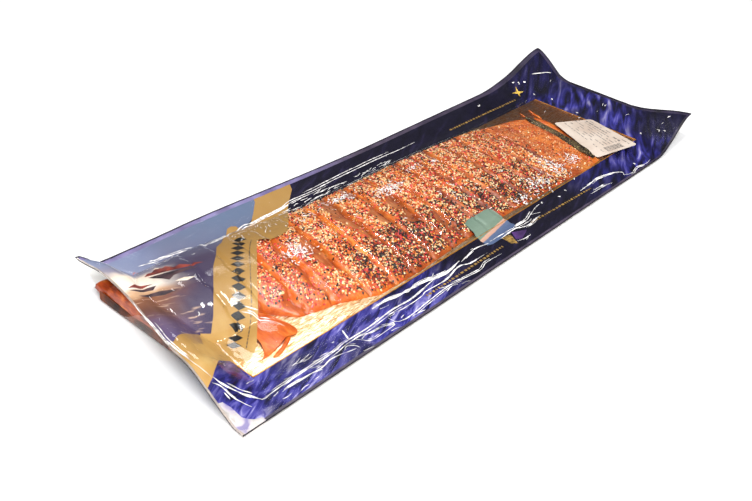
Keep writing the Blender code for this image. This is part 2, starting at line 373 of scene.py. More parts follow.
def contents_height(x, y):
    """Height of the film over the card, the fish and the flap."""
    outside_card = most(CARD_NEAR_X - x, x - CARD_FAR_X, CARD_RIGHT_Y - y, y - CARD_LEFT_Y)
    card = CARD_TOP * (1.0 - ramp(outside_card / CARD_EDGE_FALL))
    card = card + flap_height(x, y) * (1.0 - ramp(outside_card / CARD_EDGE_FALL))
    belly, back = cad_fish_edges(x)
    outside_fish = most(belly - y, y - back, FISH_NEAR_X - x, x - FISH_FAR_X)
    edge = 1.0 - ramp(FISH_EDGE_INSIDE + outside_fish / FISH_EDGE_ROUND)
    fish = (fish_back_height(x, y) - FILM_FOLLOWS * cut_shape(x, y)[0]) * edge
    fish = soft_max(fish, CARD_TOP + tail_band_height(x, y) - 0.0010, FILM_FILLET)
    return soft_max(fish, card, FILM_FILLET)


def label_height(x, y):
    """Height of the underside of the label, and how far inside its outline the point lies."""
    dx = x - LABEL_CENTRE[0]
    dy = y - LABEL_CENTRE[1]
    short = dx * math.cos(LABEL_TURN) + dy * math.sin(LABEL_TURN)
    long = dy * math.cos(LABEL_TURN) - dx * math.sin(LABEL_TURN)
    inside = np.minimum(LABEL_SHORT / 2 - np.abs(short), LABEL_LONG / 2 - np.abs(long))
    return LABEL_HEIGHT - LABEL_TWIST * short * long / (LABEL_SHORT * LABEL_LONG / 4), inside


def ripples(x, y):
    """Soft waves of the slack film: long ones beside the card, short ones over the seals."""
    beside = ramp((np.abs(y + 0.002) - 0.064) / 0.010)
    beyond = ramp((x - 0.250) / 0.020)
    slack = np.maximum(beside, beyond)
    long_waves = patchy(x, y, 0.045, 0.0080, 31) + 0.5 * patchy(x, y, 0.020, 0.0050, 32)
    wall = ramp((np.abs(x) - 0.300) / 0.015)
    over_fish = 0.00010 * patchy(x, y, 0.0045, 0.0045, 33)
    return 0.00012 * slack * long_waves * (1.0 - 0.6 * wall) + over_fish


def film_height(x, y):
    """Height of the upper film's outer face."""
    flange = flange_height(x, y) + FLANGE_THICKNESS / 2
    height = soft_max(contents_height(x, y), flange, FLANGE_FILLET) + ripples(x, y)
    label, inside = label_height(x, y)
    under = np.minimum(height, label - LABEL_AIR)
    under = under + (label - LABEL_AIR - under) * ramp(inside / LABEL_HOLD)
    return np.where(inside < -LABEL_PRESS, height, under)


def back_film_height(x, y):
    """Height of the lower film: flat under the contents, up against the flange outside them."""
    outside_near = (BODY_NEAR_X - x) / BODY_NEAR_RISE
    outside_far = (x - BODY_FAR_X) / BODY_FAR_RISE
    outside_sides = most(BODY_BELLY_Y - y, y - BODY_BACK_Y) / BODY_SIDE_RISE
    outside = ramp(most(outside_near, outside_far, outside_sides))
    level = (flange_height(x, y) - FLANGE_THICKNESS / 2) * outside
    return np.minimum(level, film_height(x, y) - 0.0006)


# ---------------------------------------------------------------- tools for the meshes
def only(piece):
    """Makes this the one selected and active object."""
    bpy.ops.object.select_all(action="DESELECT")
    piece.select_set(True)
    bpy.context.view_layer.objects.active = piece


def points_of(piece):
    """The piece's vertices as an array of one row each."""
    flat = np.empty(len(piece.data.vertices) * 3)
    piece.data.vertices.foreach_get("co", flat)
    return flat.reshape(-1, 3)


def set_points(piece, points):
    piece.data.vertices.foreach_set("co", points.astype(np.float32).ravel())
    piece.data.update()


def set_measure(piece, name, values):
    """Keeps a number for each vertex under a name that a material reads."""
    kept = piece.data.attributes.new(name, "FLOAT", "POINT")
    kept.data.foreach_set("value", np.asarray(values, dtype=np.float32))


def new_grid(name, x_span, y_span, cell):
    """A flat sheet of square cells between two X and two Y."""
    columns = max(1, round((x_span[1] - x_span[0]) / cell))
    rows = max(1, round((y_span[1] - y_span[0]) / cell))
    bpy.ops.object.select_all(action="DESELECT")
    bpy.ops.mesh.primitive_grid_add(x_subdivisions=columns, y_subdivisions=rows, size=1.0)
    sheet = bpy.context.object
    sheet.name = name
    sheet.data.name = name
    points = points_of(sheet)
    points[:, 0] = x_span[0] + (points[:, 0] + 0.5) * (x_span[1] - x_span[0])
    points[:, 1] = y_span[0] + (points[:, 1] + 0.5) * (y_span[1] - y_span[0])
    set_points(sheet, points)
    return sheet


def pouch_grid(name, columns, rows):
    """A sheet of the pouch's shared cells: columns and rows say from which cell to which."""
    bpy.ops.object.select_all(action="DESELECT")
    bpy.ops.mesh.primitive_grid_add(x_subdivisions=columns[1] - columns[0], y_subdivisions=rows[1] - rows[0], size=1.0)
    sheet = bpy.context.object
    sheet.name = name
    sheet.data.name = name
    points = points_of(sheet)
    column = columns[0] + (points[:, 0] + 0.5) * (columns[1] - columns[0])
    row = rows[0] + (points[:, 1] + 0.5) * (rows[1] - rows[0])
    points[:, 0], points[:, 1] = plan(column / LENGTH_CELLS, row / WIDTH_CELLS * 2.0 - 1.0)
    set_points(sheet, points)
    return sheet


def print_sheet(name, outline, drop):
    """A flat field of print with this outline, laid under the film."""
    corners = np.array(outline)
    y = np.clip(corners[:, 1], -POUCH_WIDTH / 2, POUCH_WIDTH / 2)
    rows = (y / POUCH_WIDTH + 0.5) * WIDTH_CELLS
    near_x = near_edge_x(y)
    columns = (corners[:, 0] - near_x) / (POUCH_LENGTH / 2 - near_x) * LENGTH_CELLS
    sheet = pouch_grid(
        name,
        (int(max(SEAL_NEAR_CELLS, columns.min() - 8)), int(min(LENGTH_CELLS - SEAL_FAR_CELLS, columns.max() + 8))),
        (int(max(SEAL_BELLY_CELLS, rows.min() - 5)), int(min(WIDTH_CELLS - SEAL_BACK_CELLS, rows.max() + 9))),
    )
    trim(sheet, outline, FILM_CELL)
    lay_under_film(sheet, drop)
    return sheet


def cut_lines(sheet, outline, cell):
    """Cuts the cells that the closed outline crosses, seen from above, side by side."""
    only(sheet)
    bpy.ops.object.mode_set(mode="EDIT")
    bpy.ops.mesh.select_mode(type="FACE")
    for start, end in zip(outline, outline[1:] + outline[:1]):
        start = np.array(start)
        along = np.array(end) - start
        length = np.hypot(*along)
        along = along / length
        bpy.ops.mesh.select_all(action="DESELECT")
        working = bmesh.from_edit_mesh(sheet.data)
        for face in working.faces:
            middle = face.calc_center_median()
            dx = middle.x - start[0]
            dy = middle.y - start[1]
            reach = dx * along[0] + dy * along[1]
            aside = dx * along[1] - dy * along[0]
            if abs(aside) < 1.1 * cell and -1.1 * cell < reach < length + 1.1 * cell:
                face.select_set(True)
        bmesh.update_edit_mesh(sheet.data)
        bpy.ops.mesh.bisect(
            plane_co=(start[0], start[1], 0.0),
            plane_no=(along[1], -along[0], 0.0),
            threshold=0.00002,
        )
    bpy.ops.object.mode_set(mode="OBJECT")


def within(x, y, outline):
    """Whether each point lies inside a closed outline."""
    inside = np.zeros(len(x), dtype=bool)
    for (ax, ay), (bx, by) in zip(outline, outline[1:] + outline[:1]):
        if ay == by:
            continue
        crosses = (ay > y) != (by > y)
        inside ^= crosses & (x < ax + (y - ay) * (bx - ax) / (by - ay))
    return inside


def face_middles(sheet):
    flat = np.empty(len(sheet.data.polygons) * 3)
    sheet.data.polygons.foreach_get("center", flat)
    return flat.reshape(-1, 3)


def delete_faces(sheet, doomed):
    """Deletes the faces that the mask names."""
    only(sheet)
    bpy.ops.object.mode_set(mode="EDIT")
    bpy.ops.mesh.select_mode(type="FACE")
    bpy.ops.mesh.select_all(action="DESELECT")
    working = bmesh.from_edit_mesh(sheet.data)
    working.faces.ensure_lookup_table()
    for number in np.nonzero(doomed)[0]:
        working.faces[number].select_set(True)
    bmesh.update_edit_mesh(sheet.data)
    bpy.ops.mesh.delete(type="FACE")
    bpy.ops.object.mode_set(mode="OBJECT")


def trim(sheet, outline, cell, keep_inside=True):
    """Cuts the sheet along a closed outline and keeps one side of it."""
    outline = [tuple(point) for point in outline]
    cut_lines(sheet, outline, cell)
    middles = face_middles(sheet)
    inside = within(middles[:, 0], middles[:, 1], outline)
    delete_faces(sheet, ~inside if keep_inside else inside)


def lay_under_film(sheet, drop):
    """Lays a flat sheet against the film, this far under its outer face."""
    points = points_of(sheet)
    points[:, 2] = film_height(points[:, 0], points[:, 1]) - drop
    set_points(sheet, points)


def rounded_route(route, step, closed=False):
    """A smooth route through the given points, with a point at each step."""
    given = np.array(route, dtype=float)
    if closed:
        given = np.vstack([given[-1], given, given[:2]])
    else:
        given = np.vstack([2 * given[0] - given[1], given, 2 * given[-1] - given[-2]])
    found = []
    for a, b, c, d in zip(given[:-3], given[1:-2], given[2:-1], given[3:]):
        count = max(1, math.ceil(np.hypot(*(c - b)[:2]) / step))
        for t in np.arange(count) / count:
            bend = 2 * b + (c - a) * t + (2 * a - 5 * b + 4 * c - d) * t**2
            found.append(0.5 * (bend + (3 * b - a - 3 * c + d) * t**3))
    if not closed:
        found.append(given[-2])
    return np.array(found)


def ridges(name, routes, flatness, base, step=0.0012, sides=1, uneven=0.0):
    """Round-backed ridges along routes on a surface. Each route is its points, width and ends."""
    line = bpy.data.curves.new(name, "CURVE")
    line.dimensions = "3D"
    line.bevel_depth = 1.0
    line.bevel_resolution = sides
    line.use_fill_caps = True
    for route, width, tapered in routes:
        points = rounded_route(route, step)
        spline = line.splines.new("POLY")
        spline.points.add(len(points) - 1)
        for number, point in enumerate(points):
            share = number / max(1, len(points) - 1)
            thin = min(1.0, 5.0 * min(share, 1.0 - share) + 0.25) if tapered else 1.0
            spline.points[number].co = (point[0], point[1], 0.0, 1.0)
            thin *= 1.0 + uneven * float(patchy(point[0], point[1], 0.0045, 0.0045, 91))
            spline.points[number].radius = width / 2 * thin
    made = bpy.data.objects.new(name, line)
    bpy.context.scene.collection.objects.link(made)
    only(made)
    bpy.ops.object.convert(target="MESH")
    made = bpy.context.object
    points = points_of(made)
    points[:, 2] = points[:, 2] * flatness + base(points[:, 0], points[:, 1])
    set_points(made, points)
    made.data.name = name
    return made


def finish_piece(piece, finish):
    """Smooth faces, the material, and the piece's place in the frame."""
    piece.data.materials.clear()
    piece.data.materials.append(finish)
    only(piece)
    bpy.ops.object.shade_smooth_by_angle(angle=math.radians(40))
    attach(piece, body)
    return piece


# ---------------------------------------------------------------- tools for the materials
def linear(code, alpha=1.0):
    """A colour written as sRGB hex, turned to the linear values that shaders take."""
    values = [int(code[i:i + 2], 16) / 255 for i in (1, 3, 5)]
    straight = [v / 12.92 if v <= 0.04045 else ((v + 0.055) / 1.055) ** 2.4 for v in values]
    return (*straight, alpha)


def new_material(name):
    made = bpy.data.materials.new(name)
    made.use_nodes = True
    made.node_tree.nodes.clear()
    return made


def node(tree, kind, inputs=None, stops=None, **settings):
    """Adds a node. An input that is given as a socket is linked, any other value is set."""
    made = tree.nodes.new(kind)
    for name, value in settings.items():
        setattr(made, name, value)
    if stops:
        band = made.color_ramp
        while len(band.elements) < len(stops):
            band.elements.new(0.5)
        for element, (place, colour) in zip(band.elements, stops):
            element.position = place
            element.color = linear(colour) if isinstance(colour, str) else (colour,) * 3 + (1.0,)
    for name, value in (inputs or {}).items():
        if isinstance(value, bpy.types.NodeSocket):
            tree.links.new(value, made.inputs[name])
        else:
            made.inputs[name].default_value = value
    return made


def surface(tree, shader):
    node(tree, "ShaderNodeOutputMaterial", {"Surface": shader})


def spots(tree):
    """The place on the piece, in metres."""
    return node(tree, "ShaderNodeTexCoord").outputs["Object"]


def measure(tree, name):
    return node(tree, "ShaderNodeAttribute", attribute_name=name).outputs["Fac"]


def matter(tree, colour, roughness, extra=None):
    """The main shader of an opaque material."""
    inputs = {"Base Color": colour, "Roughness": roughness}
    inputs.update(extra or {})
    return node(tree, "ShaderNodeBsdfPrincipled", inputs).outputs["BSDF"]


# ---------------------------------------------------------------- materials
def make_clear_film():
    """Clear packing film: almost nothing when seen straight on, a mirror at a low angle."""
    made = new_material("clear_film")
    tree = made.node_tree
    place = spots(tree)
    crinkle = node(tree, "ShaderNodeTexNoise", {"Vector": place, "Scale": 330.0, "Detail": 0.0})
    swell = node(tree, "ShaderNodeTexNoise", {"Vector": place, "Scale": 95.0, "Detail": 1.0})
    over_bits = node(tree, "ShaderNodeMath", {0: crinkle.outputs["Fac"], 1: measure(tree, "clinging")},
                     operation="MULTIPLY")
    over_bits = node(tree, "ShaderNodeMath", {0: over_bits.outputs[0], 1: 0.9}, operation="MULTIPLY")
    both = node(tree, "ShaderNodeMath", {0: swell.outputs["Fac"], 1: 0.22, 2: over_bits.outputs[0]},
                operation="MULTIPLY_ADD")
    bump = node(
        tree, "ShaderNodeBump", {"Height": both.outputs[0], "Strength": 0.5, "Distance": 0.0009}
    ).outputs["Normal"]
    facing = node(tree, "ShaderNodeLayerWeight", {"Blend": 0.5, "Normal": bump}).outputs["Facing"]
    fifth = node(tree, "ShaderNodeMath", {0: facing, 1: 5.0}, operation="POWER").outputs[0]
    share = node(tree, "ShaderNodeMath", {0: fifth, 1: 0.94}, operation="MULTIPLY").outputs[0]
    share = node(tree, "ShaderNodeMath", {0: share, 1: 0.045}, operation="ADD").outputs[0]
    matt = node(tree, "ShaderNodeMapRange", {0: measure(tree, "sealed"), 3: 1.0, 4: 0.15}).outputs[0]
    share = node(tree, "ShaderNodeMath", {0: share, 1: matt}, operation="MULTIPLY").outputs[0]
    rough = node(tree, "ShaderNodeMapRange", {0: measure(tree, "sealed"), 3: 0.06, 4: 0.30}).outputs[0]
    gloss = node(tree, "ShaderNodeBsdfGlossy", {"Color": linear("#ffffff"), "Roughness": rough,
                                                "Normal": bump}).outputs[0]
    clear = node(tree, "ShaderNodeBsdfTransparent", {"Color": linear("#ffffff")}).outputs[0]
    surface(tree, node(tree, "ShaderNodeMixShader", {0: share, 1: clear, 2: gloss}).outputs[0])
    return made


def make_back_film():
    """The clear lower film, plain and without a crinkle of its own."""
    made = new_material("clear_back_film")
    tree = made.node_tree
    facing = node(tree, "ShaderNodeLayerWeight", {"Blend": 0.5}).outputs["Facing"]
    fifth = node(tree, "ShaderNodeMath", {0: facing, 1: 5.0}, operation="POWER").outputs[0]
    share = node(tree, "ShaderNodeMath", {0: fifth, 1: 0.45}, operation="MULTIPLY").outputs[0]
    share = node(tree, "ShaderNodeMath", {0: share, 1: 0.015}, operation="ADD").outputs[0]
    gloss = node(tree, "ShaderNodeBsdfGlossy", {"Color": linear("#ffffff"), "Roughness": 0.05}).outputs[0]
    clear = node(tree, "ShaderNodeBsdfTransparent", {"Color": linear("#f6f4f0")}).outputs[0]
    surface(tree, node(tree, "ShaderNodeMixShader", {0: share, 1: clear, 2: gloss}).outputs[0])
    return made


def make_crease_glare():
    """Crease lines painted near-white: a painted highlight for the glare of lamps on the film's sharp folds, the same
    from every side.
    """
    made = new_material("painted_crease_glare")
    tree = made.node_tree
    broken = node(tree, "ShaderNodeTexNoise", {"Vector": spots(tree), "Scale": 260.0, "Detail": 2.0})
    share = node(tree, "ShaderNodeValToRGB", {"Fac": broken.outputs["Fac"]},
                 stops=[(0.32, 0.35), (0.56, 1.0)]).outputs["Color"]
    white = matter(tree, linear("#fffcfa"), 0.22)
    clear = node(tree, "ShaderNodeBsdfTransparent").outputs[0]
    surface(tree, node(tree, "ShaderNodeMixShader", {0: share, 1: clear, 2: white}).outputs[0])
    return made


def make_border_ink():
    """Navy ink with brushed streaks of blue and lilac, printed inside the film."""
    made = new_material("border_ink")
    tree = made.node_tree
    place = spots(tree)
    streaks = []
    for turn, scale, detail in ((-22, (34.0, 170.0, 1.0), 3.5), (-31, (22.0, 115.0, 1.0), 2.5)):
        turned = node(tree, "ShaderNodeVectorRotate", {"Vector": place, "Angle": math.radians(turn)},
                      rotation_type="Z_AXIS").outputs[0]
        turned = node(tree, "ShaderNodeMapping", {"Vector": turned, "Scale": scale}).outputs[0]
        streaks.append(node(tree, "ShaderNodeTexNoise", {"Vector": turned, "Scale": 1.0, "Detail": detail,
                                                         "Roughness": 0.60, "Distortion": 0.6}).outputs["Fac"])
    along = node(tree, "ShaderNodeSeparateXYZ", {"Vector": place}).outputs["X"]
    far = node(tree, "ShaderNodeMapRange", {0: along, 1: 0.10, 2: 0.20}).outputs[0]
    brighter = node(tree, "ShaderNodeMath", {0: streaks[0], 1: 0.055}, operation="ADD").outputs[0]
    streak = node(tree, "ShaderNodeMix", {0: far, 2: brighter, 3: streaks[1]}, data_type="FLOAT").outputs[0]
    vivid = node(tree, "ShaderNodeValToRGB", {"Fac": streak}, stops=[
        (0.38, "#0c0a1c"), (0.47, "#211f58"), (0.55, "#37358a"), (0.63, "#625da8"), (0.75, "#b4afd6"),
    ]).outputs["Color"]
    quiet = node(tree, "ShaderNodeValToRGB", {"Fac": streak}, stops=[
        (0.35, "#0e0c1a"), (0.60, "#161326"), (0.80, "#2a2542"),
    ]).outputs["Color"]
    wide = node(tree, "ShaderNodeTexNoise", {"Vector": place, "Scale": 24.0, "Detail": 1.0}).outputs["Fac"]
    shown = node(tree, "ShaderNodeMapRange", {0: wide, 1: 0.36, 2: 0.54, 3: 0.30, 4: 1.0}).outputs[0]
    shown = node(tree, "ShaderNodeMath", {0: shown, 1: measure(tree, "vivid")}, operation="MULTIPLY").outputs[0]
    colour = node(tree, "ShaderNodeMix", {0: shown, 6: quiet, 7: vivid}, data_type="RGBA").outputs[2]
    surface(tree, matter(tree, colour, 0.5, {"Specular IOR Level": 0.1}))
    return made


def make_corner_sheen():
    """Clear folded film in the corner, with painted reflection: its milky white and lilac stand in for light caught in
    its folds.
    """
    made = new_material("corner_sheen")
    tree = made.node_tree
    folds = node(tree, "ShaderNodeTexNoise", {"Vector": spots(tree), "Scale": 70.0, "Detail": 2.0,
                                              "Distortion": 1.2}).outputs["Fac"]
    colour = node(tree, "ShaderNodeValToRGB", {"Fac": folds}, stops=[
        (0.34, "#978dbd"), (0.43, "#dacfdc"), (0.54, "#fff8f5"), (0.68, "#eaddd4"),
    ]).outputs["Color"]
    milky = matter(tree, colour, 0.4, {"Specular IOR Level": 0.1})
    cover = node(tree, "ShaderNodeMapRange", {0: folds, 1: 0.35, 2: 0.60, 3: 0.80, 4: 0.35}).outputs[0]
    clear = node(tree, "ShaderNodeBsdfTransparent", {"Color": linear("#ffffff")}).outputs[0]
    surface(tree, node(tree, "ShaderNodeMixShader", {0: cover, 1: clear, 2: milky}).outputs[0])
    return made


def make_seal():
    """Heat-sealed film edge: grey-violet ink pressed matt, with fine cross ribs."""
    made = new_material("pressed_seal")
    tree = made.node_tree
    place = spots(tree)
    cloudy = node(tree, "ShaderNodeTexNoise", {"Vector": place, "Scale": 60.0, "Detail": 3.0})
    dark = node(tree, "ShaderNodeValToRGB", {"Fac": cloudy.outputs["Fac"]},
                stops=[(0.35, "#372f42"), (0.65, "#54495c")]).outputs["Color"]
    pale = node(tree, "ShaderNodeValToRGB", {"Fac": cloudy.outputs["Fac"]},
                stops=[(0.35, "#5f5580"), (0.65, "#857cab")]).outputs["Color"]
    # Painted sheen: where the pale measure is set, the seal turns a lighter lilac, in part standing in for light that
    # the matt seal reflects.
    colour = node(tree, "ShaderNodeMix", {0: measure(tree, "pale"), 6: dark, 7: pale},
                  data_type="RGBA").outputs[2]
    deep = node(tree, "ShaderNodeValToRGB", {"Fac": cloudy.outputs["Fac"]},
                stops=[(0.35, "#16121f"), (0.65, "#352d4a")]).outputs["Color"]
    along = node(tree, "ShaderNodeSeparateXYZ", {"Vector": place}).outputs["X"]
    far = node(tree, "ShaderNodeMapRange", {0: along, 1: 0.17, 2: 0.26, 3: 0.0, 4: 0.9}).outputs[0]
    colour = node(tree, "ShaderNodeMix", {0: far, 6: colour, 7: deep}, data_type="RGBA").outputs[2]
    ribs = node(tree, "ShaderNodeTexNoise", {"Vector": place, "Scale": 900.0, "Detail": 1.0})
    bump = node(tree, "ShaderNodeBump", {"Height": ribs.outputs["Fac"], "Strength": 0.3,
                                         "Distance": 0.0003}).outputs["Normal"]
    surface(tree, matter(tree, colour, 0.38, {"Normal": bump}))
    return made


def make_clear_seal():
    """The unprinted seal: two clear films pressed together, a little milky."""
    made = new_material("clear_seal")
    tree = made.node_tree
    cloudy = node(tree, "ShaderNodeTexNoise", {"Vector": spots(tree), "Scale": 70.0, "Detail": 3.0})
    share = node(tree, "ShaderNodeValToRGB", {"Fac": cloudy.outputs["Fac"]},
                 stops=[(0.35, 0.45), (0.70, 0.85)]).outputs["Color"]
    milky = matter(tree, linear("#cbbdb2"), 0.25)
    clear = node(tree, "ShaderNodeBsdfTransparent").outputs[0]
    surface(tree, node(tree, "ShaderNodeMixShader", {0: share, 1: clear, 2: milky}).outputs[0])
    return made


def make_ribbon_ink():
    """Flat gold-beige ink with a faint paper mottle, with painted shade that darkens it toward the back edge."""
    made = new_material("ribbon_ink")
    tree = made.node_tree
    mottle = node(tree, "ShaderNodeTexNoise", {"Vector": spots(tree), "Scale": 45.0, "Detail": 4.0})
    colour = node(tree, "ShaderNodeValToRGB", {"Fac": mottle.outputs["Fac"]}, stops=[
        (0.30, "#b58a48"), (0.52, "#c29855"), (0.72, "#cfab6a"),
    ]).outputs["Color"]
    # Painted shade: the ribbon is mixed toward a darker gold toward the back edge.
    across = node(tree, "ShaderNodeSeparateXYZ", {"Vector": spots(tree)}).outputs["Y"]
    upper = node(tree, "ShaderNodeMapRange", {0: across, 1: -0.045, 2: 0.020, 3: 0.0, 4: 0.85}).outputs[0]
    colour = node(tree, "ShaderNodeMix", {0: upper, 6: colour, 7: linear("#a07a40")},
                  data_type="RGBA").outputs[2]
    surface(tree, matter(tree, colour, 0.42, {"Specular IOR Level": 0.3}))
    return made


def make_picture_ink():
    """A printed view: blue-grey sky, a warm glow low down, and still violet water."""
    made = new_material("picture_ink")
    tree = made.node_tree
    turned = node(tree, "ShaderNodeMapping", {"Vector": spots(tree),
                                              "Rotation": (0, 0, math.radians(19.9))}).outputs[0]
    split = node(tree, "ShaderNodeSeparateXYZ", {"Vector": turned})
    soft = node(tree, "ShaderNodeTexNoise", {"Vector": turned, "Scale": 55.0, "Detail": 3.0}).outputs["Fac"]
    flat = node(tree, "ShaderNodeMapping", {"Vector": turned, "Scale": (60.0, 330.0, 1.0)}).outputs[0]
    lap = node(tree, "ShaderNodeTexNoise", {"Vector": flat, "Scale": 1.0, "Detail": 3.0}).outputs["Fac"]
    waver = node(tree, "ShaderNodeMath", {0: soft, 1: 0.020, 2: split.outputs["Y"]},
                 operation="MULTIPLY_ADD").outputs[0]
    height = node(tree, "ShaderNodeMapRange", {0: waver, 1: -0.120, 2: 0.040}).outputs[0]
    warm = node(tree, "ShaderNodeValToRGB", {"Fac": height}, stops=[
        (0.00, "#564a78"), (0.18, "#67536f"), (0.28, "#6a4438"), (0.38, "#8c583c"), (0.42, "#d8ae88"),
        (0.46, "#fff4e6"), (0.57, "#fbe9d4"), (0.62, "#958fa0"), (0.70, "#7a819c"), (1.00, "#60729c"),
    ]).outputs["Color"]
    cool = node(tree, "ShaderNodeValToRGB", {"Fac": height}, stops=[
        (0.00, "#32284f"), (0.35, "#3c314e"), (0.60, "#4c4159"), (0.75, "#64657f"), (1.00, "#5d6c88"),
    ]).outputs["Color"]
    aside = node(tree, "ShaderNodeMath", {0: soft, 1: 0.030, 2: split.outputs["X"]},
                 operation="MULTIPLY_ADD").outputs[0]
    side = node(tree, "ShaderNodeMapRange", {0: aside, 1: -0.266, 2: -0.230},
                interpolation_type="SMOOTHSTEP").outputs[0]
    view = node(tree, "ShaderNodeMix", {0: side, 6: warm, 7: cool}, data_type="RGBA").outputs[2]
    glint = node(tree, "ShaderNodeValToRGB", {"Fac": lap}, stops=[(0.60, 0.0), (0.72, 0.55)]).outputs["Color"]
    low = node(tree, "ShaderNodeMapRange", {0: height, 1: 0.50, 2: 0.42}).outputs[0]
    glint = node(tree, "ShaderNodeMath", {0: glint, 1: low}, operation="MULTIPLY").outputs[0]
    view = node(tree, "ShaderNodeMix", {0: glint, 6: view, 7: linear("#e6c3a4")},
                data_type="RGBA").outputs[2]
    surface(tree, matter(tree, view, 0.42, {"Specular IOR Level": 0.3}))
    return made


def make_print(name, low, high, scale=90.0, roughness=0.42, metallic=0.0):
    """One printed colour, uneven as ink on film is."""
    made = new_material(name)
    tree = made.node_tree
    cloud = node(tree, "ShaderNodeTexNoise", {"Vector": spots(tree), "Scale": scale, "Detail": 3.0})
    colour = node(tree, "ShaderNodeValToRGB", {"Fac": cloud.outputs["Fac"]},
                  stops=[(0.36, low), (0.64, high)]).outputs["Color"]
    surface(tree, matter(tree, colour, roughness, {"Metallic": metallic}))
    return made


def make_emblem_ink():
    """Soft sea green, with a slate band low down and a salmon line between."""
    made = new_material("emblem_ink")
    tree = made.node_tree
    turned = node(tree, "ShaderNodeMapping", {"Vector": spots(tree),
                                              "Rotation": (0, 0, math.radians(-8))}).outputs[0]
    split = node(tree, "ShaderNodeSeparateXYZ", {"Vector": turned})
    cloud = node(tree, "ShaderNodeTexNoise", {"Vector": turned, "Scale": 90.0, "Detail": 2.0}).outputs["Fac"]
    level = node(tree, "ShaderNodeMath", {0: cloud, 1: 0.0016, 2: split.outputs["Y"]},
                 operation="MULTIPLY_ADD").outputs[0]
    share = node(tree, "ShaderNodeMapRange", {0: level, 1: -0.082, 2: -0.046}).outputs[0]
    colour = node(tree, "ShaderNodeValToRGB", {"Fac": share}, stops=[
        (0.00, "#46577f"), (0.36, "#5d6d8c"), (0.38, "#c69a86"), (0.46, "#cda38e"), (0.48, "#768a78"),
        (0.62, "#7c9080"), (1.00, "#6d8474"),
    ]).outputs["Color"]
    surface(tree, matter(tree, colour, 0.40, {"Specular IOR Level": 0.3}))
    return made


def make_gold_card():
    """Gold-laminated board: a metal foil with a fine wavy grain."""
    made = new_material("gold_foil_board")
    tree = made.node_tree
    turned = node(tree, "ShaderNodeMapping", {"Vector": spots(tree), "Rotation": (0, 0, math.radians(35)),
                                              "Scale": (110.0, 760.0, 110.0)}).outputs[0]
    grain = node(tree, "ShaderNodeTexNoise", {"Vector": turned, "Scale": 1.0, "Detail": 3.0,
                                              "Distortion": 1.6}).outputs["Fac"]
    colour = node(tree, "ShaderNodeValToRGB", {"Fac": grain}, stops=[
        (0.34, "#a8611c"), (0.48, "#e2b97e"), (0.62, "#fff4de"),
    ]).outputs["Color"]
    along = node(tree, "ShaderNodeSeparateXYZ", {"Vector": spots(tree)}).outputs["X"]
    # The card is mixed toward orange at its far end.
    far_orange = node(tree, "ShaderNodeMapRange", {0: along, 1: 0.13, 2: 0.18, 3: 0.0, 4: 0.5}).outputs[0]
    colour = node(tree, "ShaderNodeMix", {0: far_orange, 6: colour, 7: linear("#b8601c")}, data_type="RGBA").outputs[2]
    rough = node(tree, "ShaderNodeMapRange", {0: grain, 1: 0.3, 2: 0.7, 3: 0.42, 4: 0.26}).outputs[0]
    bump = node(tree, "ShaderNodeBump", {"Height": grain, "Strength": 0.35, "Distance": 0.0006}).outputs["Normal"]
    surface(tree, matter(tree, colour, rough, {"Metallic": 1.0, "Normal": bump}))
    return made


